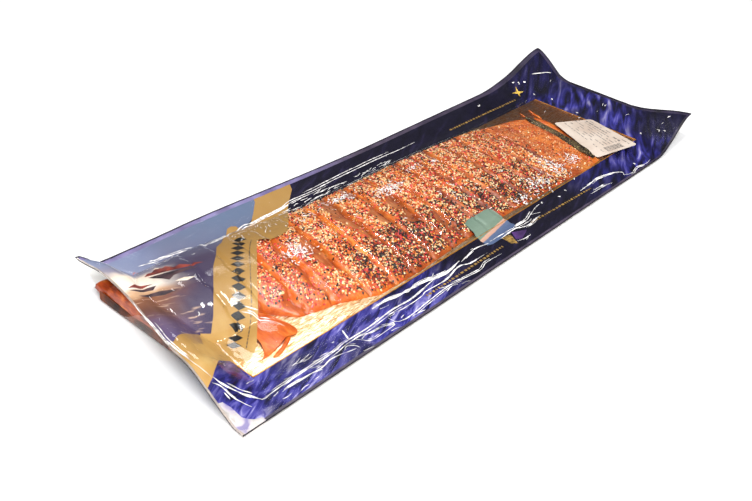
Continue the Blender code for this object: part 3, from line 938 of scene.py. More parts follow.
def make_flesh():
    """Smoked salmon: darker cured outside, brown cut faces, bright orange where freshly sliced, and painted shade in
    the cuts and along the belly.
    """
    made = new_material("smoked_flesh")
    tree = made.node_tree
    place = spots(tree)
    cloud = node(tree, "ShaderNodeTexNoise", {"Vector": place, "Scale": 70.0, "Detail": 5.0}).outputs["Fac"]
    long = node(tree, "ShaderNodeMapping", {"Vector": place, "Rotation": (0, 0, math.radians(8)),
                                            "Scale": (420.0, 90.0, 300.0)}).outputs[0]
    grain = node(tree, "ShaderNodeTexNoise", {"Vector": long, "Scale": 1.0, "Detail": 4.0,
                                              "Distortion": 0.8}).outputs["Fac"]
    mixed = node(tree, "ShaderNodeMath", {0: cloud, 1: grain}, operation="ADD").outputs[0]
    mixed = node(tree, "ShaderNodeMath", {0: mixed, 1: 0.5}, operation="MULTIPLY").outputs[0]
    cured = node(tree, "ShaderNodeValToRGB", {"Fac": mixed}, stops=[
        (0.36, "#8e3413"), (0.48, "#c85a22"), (0.62, "#ee8c40"),
    ]).outputs["Color"]
    face = node(tree, "ShaderNodeValToRGB", {"Fac": mixed}, stops=[
        (0.38, "#8c4c2a"), (0.52, "#b2673c"), (0.66, "#cf8955"),
    ]).outputs["Color"]
    dull = node(tree, "ShaderNodeValToRGB", {"Fac": mixed}, stops=[
        (0.38, "#8c3410"), (0.52, "#b3501c"), (0.66, "#d0702e"),
    ]).outputs["Color"]
    fresh = node(tree, "ShaderNodeValToRGB", {"Fac": mixed}, stops=[
        (0.38, "#d8601a"), (0.52, "#f0832a"), (0.66, "#ffb458"),
    ]).outputs["Color"]
    fresh = node(tree, "ShaderNodeMix", {0: measure(tree, "fresh"), 6: dull, 7: fresh},
                 data_type="RGBA").outputs[2]
    colour = node(tree, "ShaderNodeMix", {0: measure(tree, "bare"), 6: cured, 7: face},
                  data_type="RGBA").outputs[2]
    colour = node(tree, "ShaderNodeMix", {0: measure(tree, "steep"), 6: colour, 7: fresh},
                  data_type="RGBA").outputs[2]
    # Painted shade: the deep measure darkens the flesh toward dark brown in the cuts, along the belly side and at the
    # thick end.
    colour = node(tree, "ShaderNodeMix", {0: measure(tree, "deep"), 6: colour, 7: linear("#5e210c")},
                  data_type="RGBA").outputs[2]
    end = node(tree, "ShaderNodeValToRGB", {"Fac": mixed}, stops=[
        (0.38, "#6e220a"), (0.52, "#b3481a"), (0.66, "#e08038"),
    ]).outputs["Color"]
    along = node(tree, "ShaderNodeSeparateXYZ", {"Vector": place}).outputs["X"]
    near = node(tree, "ShaderNodeMapRange", {0: along, 1: -0.130, 2: -0.190, 3: 0.0, 4: 0.46}).outputs[0]
    colour = node(tree, "ShaderNodeMix", {0: near, 6: colour, 7: linear("#c44a04")}, data_type="RGBA").outputs[2]
    at_end = node(tree, "ShaderNodeMapRange", {0: along, 1: -0.285, 2: -0.295, 3: 0.0, 4: 0.85}).outputs[0]
    colour = node(tree, "ShaderNodeMix", {0: at_end, 6: colour, 7: end}, data_type="RGBA").outputs[2]
    bump = node(tree, "ShaderNodeBump", {"Height": mixed, "Strength": 0.6, "Distance": 0.0009}).outputs["Normal"]
    surface(tree, matter(tree, colour, 0.34, {"Normal": bump, "Subsurface Weight": 0.12,
                                              "Subsurface Radius": (0.003, 0.001, 0.0005),
                                              "Subsurface Scale": 1.0}))
    return made


def make_skin():
    """Salmon skin: near-black olive with a fine scale pattern and a wet shine."""
    made = new_material("fish_skin")
    tree = made.node_tree
    place = spots(tree)
    scales = node(tree, "ShaderNodeTexVoronoi", {"Vector": place, "Scale": 520.0}).outputs["Distance"]
    cloud = node(tree, "ShaderNodeTexNoise", {"Vector": place, "Scale": 60.0, "Detail": 4.0}).outputs["Fac"]
    colour = node(tree, "ShaderNodeValToRGB", {"Fac": cloud}, stops=[
        (0.36, "#140d08"), (0.50, "#2e2014"), (0.66, "#5c4a30"),
    ]).outputs["Color"]
    fine = node(tree, "ShaderNodeTexNoise", {"Vector": place, "Scale": 800.0, "Detail": 1.0}).outputs["Fac"]
    speck = node(tree, "ShaderNodeMapRange", {0: fine, 1: 0.60, 2: 0.66}).outputs[0]
    colour = node(tree, "ShaderNodeMix", {0: speck, 6: colour, 7: linear("#9a8a5a")}, data_type="RGBA").outputs[2]
    browned = node(tree, "ShaderNodeValToRGB", {"Fac": cloud}, stops=[
        (0.36, "#2a1109"), (0.50, "#552711"), (0.66, "#8a4520"),
    ]).outputs["Color"]
    along = node(tree, "ShaderNodeSeparateXYZ", {"Vector": place}).outputs["X"]
    at_end = node(tree, "ShaderNodeMapRange", {0: along, 1: -0.20, 2: -0.28}).outputs[0]
    colour = node(tree, "ShaderNodeMix", {0: at_end, 6: colour, 7: browned}, data_type="RGBA").outputs[2]
    bump = node(tree, "ShaderNodeBump", {"Height": scales, "Strength": 0.5, "Distance": 0.0004}).outputs["Normal"]
    surface(tree, matter(tree, colour, 0.55, {"Normal": bump, "Specular IOR Level": 0.25}))
    return made


def make_seasoning(name, dark, pale, roughness):
    """Bits of one kind of seasoning, each a little different in colour."""
    made = new_material(name)
    tree = made.node_tree
    speck = node(tree, "ShaderNodeTexNoise", {"Vector": spots(tree), "Scale": 1400.0, "Detail": 1.0})
    both = node(tree, "ShaderNodeMath", {0: speck.outputs["Fac"], 1: measure(tree, "shade")},
                operation="ADD").outputs[0]
    both = node(tree, "ShaderNodeMath", {0: both, 1: 0.5}, operation="MULTIPLY").outputs[0]
    colour = node(tree, "ShaderNodeValToRGB", {"Fac": both},
                  stops=[(0.25, dark), (0.75, pale)]).outputs["Color"]
    surface(tree, matter(tree, colour, roughness))
    return made


def make_label_paper():
    """Coated label paper: warm off-white, faintly mottled."""
    made = new_material("label_paper")
    tree = made.node_tree
    place = spots(tree)
    fibre = node(tree, "ShaderNodeTexNoise", {"Vector": place, "Scale": 700.0, "Detail": 3.0}).outputs["Fac"]
    cloud = node(tree, "ShaderNodeTexNoise", {"Vector": place, "Scale": 40.0, "Detail": 2.0}).outputs["Fac"]
    colour = node(tree, "ShaderNodeValToRGB", {"Fac": cloud},
                  stops=[(0.35, "#c9b5a5"), (0.65, "#dbccbe")]).outputs["Color"]
    bump = node(tree, "ShaderNodeBump", {"Height": fibre, "Strength": 0.2, "Distance": 0.0001}).outputs["Normal"]
    surface(tree, matter(tree, colour, 0.45, {"Normal": bump}))
    return made


# ---------------------------------------------------------------- the films
def mm(*points):
    """Points given in millimetres, turned to metres."""
    return [tuple(value / 1000 for value in point) for point in points]


clear_film = make_clear_film()
front_film = pouch_grid("front_film", (0, LENGTH_CELLS), (0, WIDTH_CELLS))
lay_under_film(front_film, 0.0)
points = points_of(front_film)
x = points[:, 0]
y = points[:, 1]
belly, back = cad_fish_edges(x)
set_measure(front_film, "clinging", part_of(np.minimum(y - belly, back - y), (0.0, 0.006))
            * part_of(x, (-0.200, -0.190)) * (1.0 - part_of(x, (0.160, 0.190))))
column = np.arange(len(x)) % (LENGTH_CELLS + 1)
row = np.arange(len(x)) // (LENGTH_CELLS + 1)
sealed = (row < SEAL_BELLY_CELLS) | (row > WIDTH_CELLS - SEAL_BACK_CELLS) | (column > LENGTH_CELLS - SEAL_FAR_CELLS)
near_back = 0.6 * part_of(y, (0.076, 0.082)) * part_of(-x, (-0.02, 0.04))
curled = 0.95 * part_of(x, (0.236, 0.250)) * part_of(-y, (0.030, 0.050))
curled = most(curled, 0.95 * part_of(x, (0.250, 0.262)) * part_of(y, (0.046, 0.060)))
near_strip = 0.85 * part_of(-y, (0.064, 0.069)) * part_of(-x, (-0.02, 0.03))
near_fish = 0.6 * part_of(-x, (0.120, 0.150)) * (1.0 - part_of(-x, (0.225, 0.250))) * part_of(-y, (-0.040, -0.020))
over_tail = 0.7 * part_of(x, (0.165, 0.175)) * (1.0 - part_of(x, (0.230, 0.240)))
set_measure(front_film, "sealed", most(most(sealed, near_back, curled), near_strip, near_fish, over_tail))
finish_piece(front_film, clear_film)
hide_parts("pouch")

back_film = pouch_grid("back_film", (0, LENGTH_CELLS), (0, WIDTH_CELLS))
points = points_of(back_film)
points[:, 2] = back_film_height(points[:, 0], points[:, 1])
set_points(back_film, points)
only(back_film)
bpy.ops.object.mode_set(mode="EDIT")
bpy.ops.mesh.select_all(action="SELECT")
bpy.ops.mesh.flip_normals()
bpy.ops.object.mode_set(mode="OBJECT")
finish_piece(back_film, make_back_film())

# ---------------------------------------------------------------- the print inside the upper film
WINDOW = [(CARD_NEAR_X, CARD_RIGHT_Y), (CARD_FAR_X, CARD_RIGHT_Y), (CARD_FAR_X, CARD_LEFT_Y),
          (CARD_NEAR_X, CARD_LEFT_Y)]
CLEAR_CORNER = mm((-330, -74), (-315, -77), (-312, -82), (-310, -90), (-304, -96), (-299, -98),
                  (-299, -110), (-330, -110))

INNER_COLUMNS = (SEAL_NEAR_CELLS, LENGTH_CELLS - SEAL_FAR_CELLS)
INNER_ROWS = (SEAL_BELLY_CELLS, WIDTH_CELLS - SEAL_BACK_CELLS)
border = pouch_grid("printed_border", INNER_COLUMNS, INNER_ROWS)
trim(border, WINDOW, FILM_CELL, keep_inside=False)
trim(border, CLEAR_CORNER, FILM_CELL, keep_inside=False)
lay_under_film(border, PRINT_DROP)
points = points_of(border)
# The clear corner's sheet carries painted reflection: white and lilac light caught in the folded film.
corner_sheen_sheet = pouch_grid("corner_sheen", (0, LENGTH_CELLS // 8), (0, WIDTH_CELLS // 3))
trim(corner_sheen_sheet, CLEAR_CORNER, FILM_CELL, keep_inside=True)
lay_under_film(corner_sheen_sheet, PRINT_DROP)
finish_piece(corner_sheen_sheet, make_corner_sheen())
near_blue = part_of(points[:, 0], (-0.050, -0.130)) * part_of(-points[:, 1], (0.020, 0.046))
far_blue = part_of(points[:, 0], (0.100, 0.215)) * part_of(-points[:, 1] + (points[:, 0] - 0.262), (-0.110, -0.070))
dark_far = most(part_of(points[:, 0], (0.262, 0.286)) * part_of(-points[:, 1], (0.030, 0.060)),
                0.9 * part_of(points[:, 1], (0.045, 0.090)))
set_measure(border, "vivid", np.clip(near_blue + far_blue, 0.0, 1.0) * (1.0 - 0.9 * dark_far))
finish_piece(border, make_border_ink())

seal_ink = make_seal()
bands = []
for name, columns, rows in (
    ("back_seal", (SEAL_NEAR_CELLS, LENGTH_CELLS), (INNER_ROWS[1], WIDTH_CELLS)),
    ("belly_seal", (SEAL_NEAR_CELLS, LENGTH_CELLS), (0, INNER_ROWS[0])),
    ("far_seal", (INNER_COLUMNS[1], LENGTH_CELLS), INNER_ROWS),
):
    band = pouch_grid(name, columns, rows)
    if name == "belly_seal":
        trim(band, CLEAR_CORNER, FILM_CELL, keep_inside=False)
    lay_under_film(band, PRINT_DROP)
    points = points_of(band)
    # Paler back seal toward the thick end: in part a painted sheen.
    pale = part_of(points[:, 0], (0.02, -0.10)) * part_of(points[:, 1], (0.0, 0.02))
    set_measure(band, "pale", pale)
    bands.append(finish_piece(band, seal_ink))

near_seal = pouch_grid("near_seal", (0, SEAL_NEAR_CELLS), (0, WIDTH_CELLS))
lay_under_film(near_seal, PICTURE_DROP)
finish_piece(near_seal, make_clear_seal())

PICTURE = mm((-330, -34), (-300, -22), (-262, -16), (-238, 8), (-212, 40), (-190, 58), (-168, 72),
             (-150, 78), (-122, 90), (-108, 96), (-108, 120), (-340, 120))
picture = print_sheet("printed_picture", PICTURE, PICTURE_DROP)
finish_piece(picture, make_picture_ink())

RIBBON = mm(
    (-152, 75), (-140, 85), (-129, 95), (-127, 100), (-83, 100), (-87, 92), (-96, 85), (-105, 78),
    (-112, 72), (-125, 58), (-137, 45), (-146, 36), (-153, 30), (-160, 29.5), (-168, 29), (-173, 32),
    (-177, 35), (-180, 37), (-201, 14), (-218, -5), (-232, -21), (-241, -30), (-253, -42.5),
    (-258, -46), (-268, -51), (-280, -44), (-293, -48), (-301, -55), (-310, -62), (-318, -66),
    (-325, -66), (-325, -21), (-309, -21), (-306, -19), (-303, -17.5), (-299, -16.5), (-291, -15),
    (-279, -11), (-272, -15), (-262, -6), (-248, 10), (-231, 30), (-220, 40), (-209, 52), (-201, 55.5),
    (-190, 65), (-174, 80), (-169, 81), (-165, 79), (-164, 75), (-158, 75),
)
ribbon = print_sheet("printed_ribbon", RIBBON, RIBBON_DROP)
finish_piece(ribbon, make_ribbon_ink())

EMBLEM = mm((-17, -50), (-12, -48.5), (16, -48.5), (22, -50), (25, -66), (26, -75), (21, -78), (3, -80),
            (-15, -80), (-20, -78), (-18, -64))
emblem = print_sheet("emblem", EMBLEM, RIBBON_DROP)
finish_piece(emblem, make_emblem_ink())


def small_print(name, shapes, finish, drop=SMALL_PRINT_DROP, cell=0.0012):
    """Small flat marks: each a centre, a length, a width, a turn in degrees and whether it is a lozenge."""
    marks = []
    for centre, length, width, turn, lozenge in shapes:
        half = math.radians(turn + (45 if lozenge else 0))
        columns = max(2, round(length / cell))
        rows = max(1, round(width / cell))
        bpy.ops.object.select_all(action="DESELECT")
        bpy.ops.mesh.primitive_grid_add(x_subdivisions=columns, y_subdivisions=rows, size=1.0)
        mark = bpy.context.object
        points = points_of(mark)
        a = points[:, 0].copy()
        b = points[:, 1].copy()
        if lozenge:
            a, b = (a + b), (b - a)
            a = a * length / 2
            b = b * width / 2
            half = math.radians(turn)
        else:
            a = a * length
            b = b * width
        points[:, 0] = centre[0] + a * math.cos(half) - b * math.sin(half)
        points[:, 1] = centre[1] + a * math.sin(half) + b * math.cos(half)
        set_points(mark, points)
        marks.append(mark)
    bpy.ops.object.select_all(action="DESELECT")
    for mark in marks:
        mark.select_set(True)
    bpy.context.view_layer.objects.active = marks[0]
    if len(marks) > 1:
        bpy.ops.object.join()
    joined = bpy.context.view_layer.objects.active
    joined.name = name
    joined.data.name = name
    lay_under_film(joined, drop)
    return finish_piece(joined, finish)


# The ribbon's ornament: a chain of black lozenges, with a fine broken rule beside it.
CHAIN = rounded_route(mm((-268, -34), (-243, -12), (-222, 12), (-203, 34), (-186, 50)), 0.0005)
CHAIN_LENGTHS = np.concatenate([[0.0], np.cumsum(np.hypot(*np.diff(CHAIN, axis=0).T))])


def on_chain(distance, aside):
    """A point at this distance along the ribbon's middle and this far to its side, and its heading."""
    x = np.interp(distance, CHAIN_LENGTHS, CHAIN[:, 0])
    y = np.interp(distance, CHAIN_LENGTHS, CHAIN[:, 1])
    ahead_x = np.interp(distance + 0.002, CHAIN_LENGTHS, CHAIN[:, 0])
    ahead_y = np.interp(distance + 0.002, CHAIN_LENGTHS, CHAIN[:, 1])
    behind_x = np.interp(distance - 0.002, CHAIN_LENGTHS, CHAIN[:, 0])
    behind_y = np.interp(distance - 0.002, CHAIN_LENGTHS, CHAIN[:, 1])
    heading = math.atan2(ahead_y - behind_y, ahead_x - behind_x)
    return (x + aside * math.sin(heading), y - aside * math.cos(heading)), math.degrees(heading)


lozenges = []
for number in range(15):
    centre, heading = on_chain(0.004 + number * 0.0079, 0.0)
    lozenges.append((centre, 0.0076, 0.0112, heading, True))
small_print("ribbon_lozenges", lozenges, make_print("black_ink", "#120f0e", "#231d1a"))

rules = []
chance = np.random.RandomState(17)
distance = 0.002
while distance < CHAIN_LENGTHS[-1] - 0.004:
    length = chance.uniform(0.0014, 0.0042)
    centre, heading = on_chain(distance + length / 2, 0.0092)
    rules.append((centre, length, 0.0009, heading, False))
    distance += length + 0.0011
small_print("ribbon_rule", rules, make_print("grey_ink", "#5d4a35", "#7a6449"))

gold_ink = make_print("gold_ink", "#5f471f", "#b9924a", 420.0, 0.38)
marks = []
for start, end, gap in ((mm((-115, -88))[0], mm((-10, -88))[0], 0.0016), (mm((39, -83))[0], mm((134, -87))[0], 0.0016),
                        (mm((128, 78))[0], mm((244, 76))[0], 0.0016)):
    heading = math.atan2(end[1] - start[1], end[0] - start[0])
    total = math.hypot(end[0] - start[0], end[1] - start[1])
    distance = 0.0
    while distance < total:
        length = chance.uniform(0.0009, 0.0036)
        x = start[0] + (distance + length / 2) * math.cos(heading)
        y = start[1] + (distance + length / 2) * math.sin(heading)
        marks.append(((x, y), length, 0.0021, math.degrees(heading), False))
        distance += length + gap
small_print("gold_marks", marks, gold_ink)
cross = [(mm((259, 83))[0], 0.0145, 0.0036, 60.0, True), (mm((259, 83))[0], 0.0165, 0.0036, -18.0, True)]
small_print("gold_cross", cross, make_print("bright_gold_ink", "#b08a34", "#f2cf62", 420.0, 0.3))

pennant = print_sheet("gold_pennant", mm((-1, -79.5), (9, -82), (3, -94), (-2, -90)), RIBBON_DROP)
finish_piece(pennant, gold_ink)
purple_field = print_sheet("purple_field", mm((13, -80), (27, -87), (11, -93), (7, -89)), RIBBON_DROP)
finish_piece(purple_field, make_print("purple_ink", "#3a2152", "#553074"))

HORIZON_MIDDLE = np.array((-0.262, 0.052))
HORIZON_ALONG = np.array((0.941, -0.338))
HORIZON_UP = np.array((0.338, 0.941))


def in_view(*points):
    """Points of the printed view, given in millimetres along its horizon and up from it."""
    return [tuple(HORIZON_MIDDLE + a / 1000 * HORIZON_ALONG + u / 1000 * HORIZON_UP) for a, u in points]


def view_shape(name, points, finish, drop=RIBBON_DROP):
    return finish_piece(print_sheet(name, in_view(*points), drop), finish)


hill_ink = make_print("hill_ink", "#5e1f20", "#a3483a", 160.0)
shade_ink = make_print("shade_ink", "#2a1d26", "#5b4145", 160.0)
snow_ink = make_print("snow_ink", "#e9d3bb", "#fdf3e2", 160.0)
view_shape("printed_hills", ((-14, 0), (-10, 5), (-7, 4), (-2, 11), (2, 7), (5, 9), (10, 3), (15, 5), (21, 1),
                             (26, 2), (32, -1), (20, -2), (4, -1)), hill_ink)
view_shape("printed_hill_snow", ((-4.5, 8), (-2, 11), (0.5, 8.8), (-1, 7), (-2.5, 8.2)), snow_ink, SMALL_PRINT_DROP)
view_shape("printed_hill_shade", ((-12, -3), (0, -2.5), (18, -3.5), (27, -4), (16, -7), (6, -9), (1, -14), (-3, -10),
                                  (-9, -6)), shade_ink)
view_shape("printed_islet", ((-30, -14), (-24, -10), (-18, -13), (-12, -14), (-20, -16.5)), hill_ink)
view_shape("printed_islet_shade", ((-30, -17), (-20, -18), (-10, -17), (-14, -22), (-24, -21)), shade_ink)
view_shape("printed_shallows", ((-26, -26), (-10, -25), (4, -27), (-8, -30), (-20, -29)), shade_ink)
view_shape("printed_ice", ((4, -17), (12, -15), (20, -17), (13, -19.5)), snow_ink)

# ---------------------------------------------------------------- the card
bpy.ops.object.select_all(action="DESELECT")
bpy.ops.mesh.primitive_cube_add(size=1.0)
gold_card = bpy.context.object
gold_card.name = "gold_card"
points = points_of(gold_card)
points[:, 0] = (CARD_NEAR_X + CARD_FAR_X) / 2 + points[:, 0] * (CARD_FAR_X - CARD_NEAR_X)
points[:, 1] = (CARD_RIGHT_Y + CARD_LEFT_Y) / 2 + points[:, 1] * (CARD_LEFT_Y - CARD_RIGHT_Y)
points[:, 2] = CARD_FACE + (points[:, 2] - 0.5) * CARD_BOARD
set_points(gold_card, points)
rounding = gold_card.modifiers.new("rounding", "BEVEL")
rounding.width = 0.0005
rounding.segments = 2
only(gold_card)
bpy.ops.object.modifier_apply(modifier="rounding")
finish_piece(gold_card, make_gold_card())

card_edge = ridges(
    "card_edge",
    [(mm((-277.6, -44), (-277.7, -65.7)), 0.0010, False), (mm((-277.7, -65.7), (0, -65.8), (261.7, -65.7)), 0.0010, False),
     (mm((261.7, -65.7), (261.7, -20), (261.7, 61.7)), 0.0009, False)],
    0.6, lambda x, y: np.full(len(x), CARD_FACE), step=0.004)
finish_piece(card_edge, make_print("gold_edge", "#c07a1c", "#eba63f", 200.0, 0.35, 0.6))

# ---------------------------------------------------------------- the fish
BELLY_EDGE = np.array(mm((-300, -13), (-262, -14), (-238, -13), (-227, -16), (-208, -40), (-190, -45), (-175, -48),
                         (-160, -55), (-142, -63), (-94, -64), (-29, -61), (28, -60.5), (118, -63.5), (165, -65.5),
                         (191, -64)))
FAR_END = mm((191, -64), (197, -40), (202, -15), (206.5, 15), (209, 38))
BACK_EDGE = mm((209, 38), (200, 44), (187, 47.5), (160, 54), (130, 60.5), (93, 61), (0, 61.5), (-109, 61.5), (-160, 64), (-200, 69),
               (-240, 76), (-270, 82), (-292, 87), (-299.0, 87))
OUTLINE = [tuple(point) for point in BELLY_EDGE[1:]] + FAR_END[1:] + BACK_EDGE[1:] + mm((-300.5, 40), (-300.5, -8),
                                                                                     (-297.5, -14))
EDGE_ROUND = 0.010


def from_edge(x, y):
    """Distance from a point inside the fish to its outline."""
    found = np.full(len(x), 1.0)
    for (ax, ay), (bx, by) in zip(OUTLINE, OUTLINE[1:] + OUTLINE[:1]):
        length = math.hypot(bx - ax, by - ay)
        ux = (bx - ax) / length
        uy = (by - ay) / length
        reach = np.clip((x - ax) * ux + (y - ay) * uy, 0.0, length)
        found = np.minimum(found, np.hypot(x - ax - reach * ux, y - ay - reach * uy))
    return found


def fish_height(x, y):
    """Height of the flesh: its back, less the cuts, rounded down to a low edge all round."""
    inside = from_edge(x, y)
    share = np.clip(inside / EDGE_ROUND, 0.0, 1.0)
    rounded = 0.52 + 0.48 * np.sqrt(1.0 - (1.0 - share) ** 2)
    down = cut_shape(x, y)[0]
    uneven = 0.00022 * patchy(x, y, 0.0040, 0.0060, 41) + 0.00018 * patchy(x, y, 0.011, 0.009, 42)
    height = (fish_back_height(x, y) - FISH_UNDER_FILM * share - 0.0003) * rounded - down + uneven
    return np.clip(height, CARD_FACE + 0.0006, film_height(x, y) - 0.00045)


flesh = new_grid("fish_flesh", (-0.3020, 0.2095), (-0.0665, 0.0885), FISH_CELL)
trim(flesh, OUTLINE, FISH_CELL)
points = points_of(flesh)
x = points[:, 0]
y = points[:, 1]
down, bare, steep, deepest = cut_shape(x, y)
end_part = part_of(x, (0.152, 0.160))
points[:, 2] = fish_height(x, y)
set_points(flesh, points)
rim = from_edge(x, y)
near_end = part_of(x, (-0.293, -0.2965))
set_measure(flesh, "bare", bare)
set_measure(flesh, "steep", np.clip(steep + 0.8 * (1.0 - ramp(rim / 0.004)) + 0.3 * end_part, 0.0, 1.0))
set_measure(flesh, "fresh", freshness(x, y) * (1.0 - 0.75 * near_end) * (1.0 - end_part) + 0.35 * end_part)
# Painted shade on the flesh, kept as the deep measure: darkest at the bottom of each cut, on steep faces that are not
# fresh (more in the far cuts), along the belly side and at the thick end.
far_cuts = part_of(x, (-0.020, 0.020))
shadowed = most((0.60 + 0.35 * far_cuts) * deepest, (0.22 + 0.55 * far_cuts) * steep * (1.0 - freshness(x, y)))
belly_shade = 0.42 * part_of(-y, (0.008, 0.048)) * part_of(x, (-0.140, -0.090)) * (1.0 - part_of(x, (0.090, 0.130)))
shadowed = most(shadowed * (1.0 - part_of(x, (0.147, 0.150))), belly_shade)
set_measure(flesh, "deep", np.maximum(shadowed, 0.30 * near_end))
only(flesh)
bpy.ops.object.mode_set(mode="EDIT")
bpy.ops.mesh.select_mode(type="EDGE")
bpy.ops.mesh.select_all(action="DESELECT")
bpy.ops.mesh.select_non_manifold()
bpy.ops.mesh.extrude_edges_move(TRANSFORM_OT_translate={"value": (0.0, 0.0, -0.001)})
bpy.ops.object.mode_set(mode="OBJECT")
points = points_of(flesh)
chosen = np.zeros(len(points), dtype=bool)
flesh.data.vertices.foreach_get("select", chosen)
points[chosen, 2] = CARD_FACE + 0.0001
points[chosen, 1] = np.minimum(points[chosen, 1], 0.066 + 0.3 * np.maximum(0.0, points[chosen, 1] - 0.066))
set_points(flesh, points)
only(flesh)
bpy.ops.object.mode_set(mode="EDIT")
bpy.ops.mesh.edge_face_add()
bpy.ops.mesh.quads_convert_to_tris()
bpy.ops.object.mode_set(mode="OBJECT")
finish_piece(flesh, make_flesh())

skin = make_skin()
far_skin = ridges(
    "tail_skin", [(list(TAIL_BAND), 0.0098, True)], 0.46, lambda x, y: np.full(len(x), CARD_FACE + 0.0018), sides=3)
finish_piece(far_skin, skin)

END_SKIN_Y = (-0.0120, 0.0780)
END_SKIN_Z = (0.0020, 0.0098)
end_skin = new_grid("end_skin", (0.0, 0.010), END_SKIN_Y, 0.0014)
points = points_of(end_skin)
share = points[:, 0] / 0.010
y = points[:, 1]
top = END_SKIN_Z[1] + 0.0008 * patchy(y, y, 0.012, 0.5, 55)
points[:, 2] = END_SKIN_Z[0] + share * (top - END_SKIN_Z[0])
points[:, 0] = -0.3001 - 0.0006 * np.sin(np.pi * share) + 0.0030 * part_of(y, (0.0, -0.012))
set_points(end_skin, points)
thickness = end_skin.modifiers.new("thickness", "SOLIDIFY")
thickness.thickness = 0.0006
thickness.offset = 0.0
only(end_skin)
bpy.ops.object.modifier_apply(modifier="thickness")
finish_piece(end_skin, skin)

flap = new_grid("belly_flap", (-0.262, -0.216), (-0.060, -0.008), 0.0011)
trim(flap, [tuple(point) for point in rounded_route(FLAP, 0.004, True)], 0.0011)
points = points_of(flap)
x = points[:, 0]
y = points[:, 1]
points[:, 2] = CARD_FACE + 0.0008 + np.maximum(0.0, flap_height(x, y) - 0.0006)
points[:, 2] += 0.00035 * patchy(x, y, 0.004, 0.011, 51)
points[:, 2] = np.minimum(points[:, 2], film_height(x, y) - 0.0004)
set_points(flap, points)
set_measure(flap, "bare", np.zeros(len(points)))
set_measure(flap, "fresh", np.ones(len(points)))
set_measure(flap, "steep", 0.60 + 0.35 * patchy(x, y, 0.012, 0.006, 52))
set_measure(flap, "deep", np.zeros(len(points)))
thickness = flap.modifiers.new("thickness", "SOLIDIFY")
thickness.thickness = 0.0007
thickness.offset = -1.0
only(flap)
bpy.ops.object.modifier_apply(modifier="thickness")
flesh_finish = flesh.data.materials[0]
finish_piece(flap, flesh_finish)
tails = ridges(
    "flap_strips",
    [(mm((-228, -50), (-236, -55), (-245, -59), (-254, -61)), 0.0036, True),
     (mm((-233, -49), (-243, -53), (-252, -55), (-261, -57)), 0.0030, True)],
    0.45, lambda x, y: np.full(len(x), CARD_FACE + 0.0004), sides=3)
set_measure(tails, "bare", np.zeros(len(tails.data.vertices)))
set_measure(tails, "fresh", np.ones(len(tails.data.vertices)))
set_measure(tails, "steep", np.full(len(tails.data.vertices), 0.6))
set_measure(tails, "deep", np.zeros(len(tails.data.vertices)))
finish_piece(tails, flesh_finish)

crumbs = ridges(
    "card_crumbs",
    [(mm((226, 40), (229, 41)), 0.0032, True),
     (mm((222, 26), (226, 32), (228, 40), (232, 50)), 0.0026, True),
     (mm((212, 30), (214, 42), (218, 52)), 0.0016, True),
     (mm((200, -52), (207.5, -34), (213, -12), (217, 12), (220, 34)), 0.0098, True)],
    0.40, lambda x, y: np.full(len(x), CARD_FACE + 0.0003), sides=3)
set_measure(crumbs, "bare", np.zeros(len(crumbs.data.vertices)))
set_measure(crumbs, "fresh", np.full(len(crumbs.data.vertices), 0.4))
set_measure(crumbs, "steep", np.full(len(crumbs.data.vertices), 0.8))
set_measure(crumbs, "deep", np.zeros(len(crumbs.data.vertices)))
finish_piece(crumbs, flesh_finish)

# ---------------------------------------------------------------- the seasoning
SEASONED_X = (-0.292, 0.196)


def bit_shape(seed, roughness):
    """One crushed bit: a low-poly ball pushed out of round."""
    bpy.ops.object.select_all(action="DESELECT")
    bpy.ops.mesh.primitive_ico_sphere_add(subdivisions=1, radius=0.5)
    ball = bpy.context.object
    points = points_of(ball)
    chance = np.random.RandomState(seed)
    points *= chance.uniform(1.0 - roughness, 1.0 + roughness, (len(points), 1))
    faces = np.array([tuple(face.vertices) for face in ball.data.polygons])
    bpy.data.objects.remove(ball)
    return points, faces


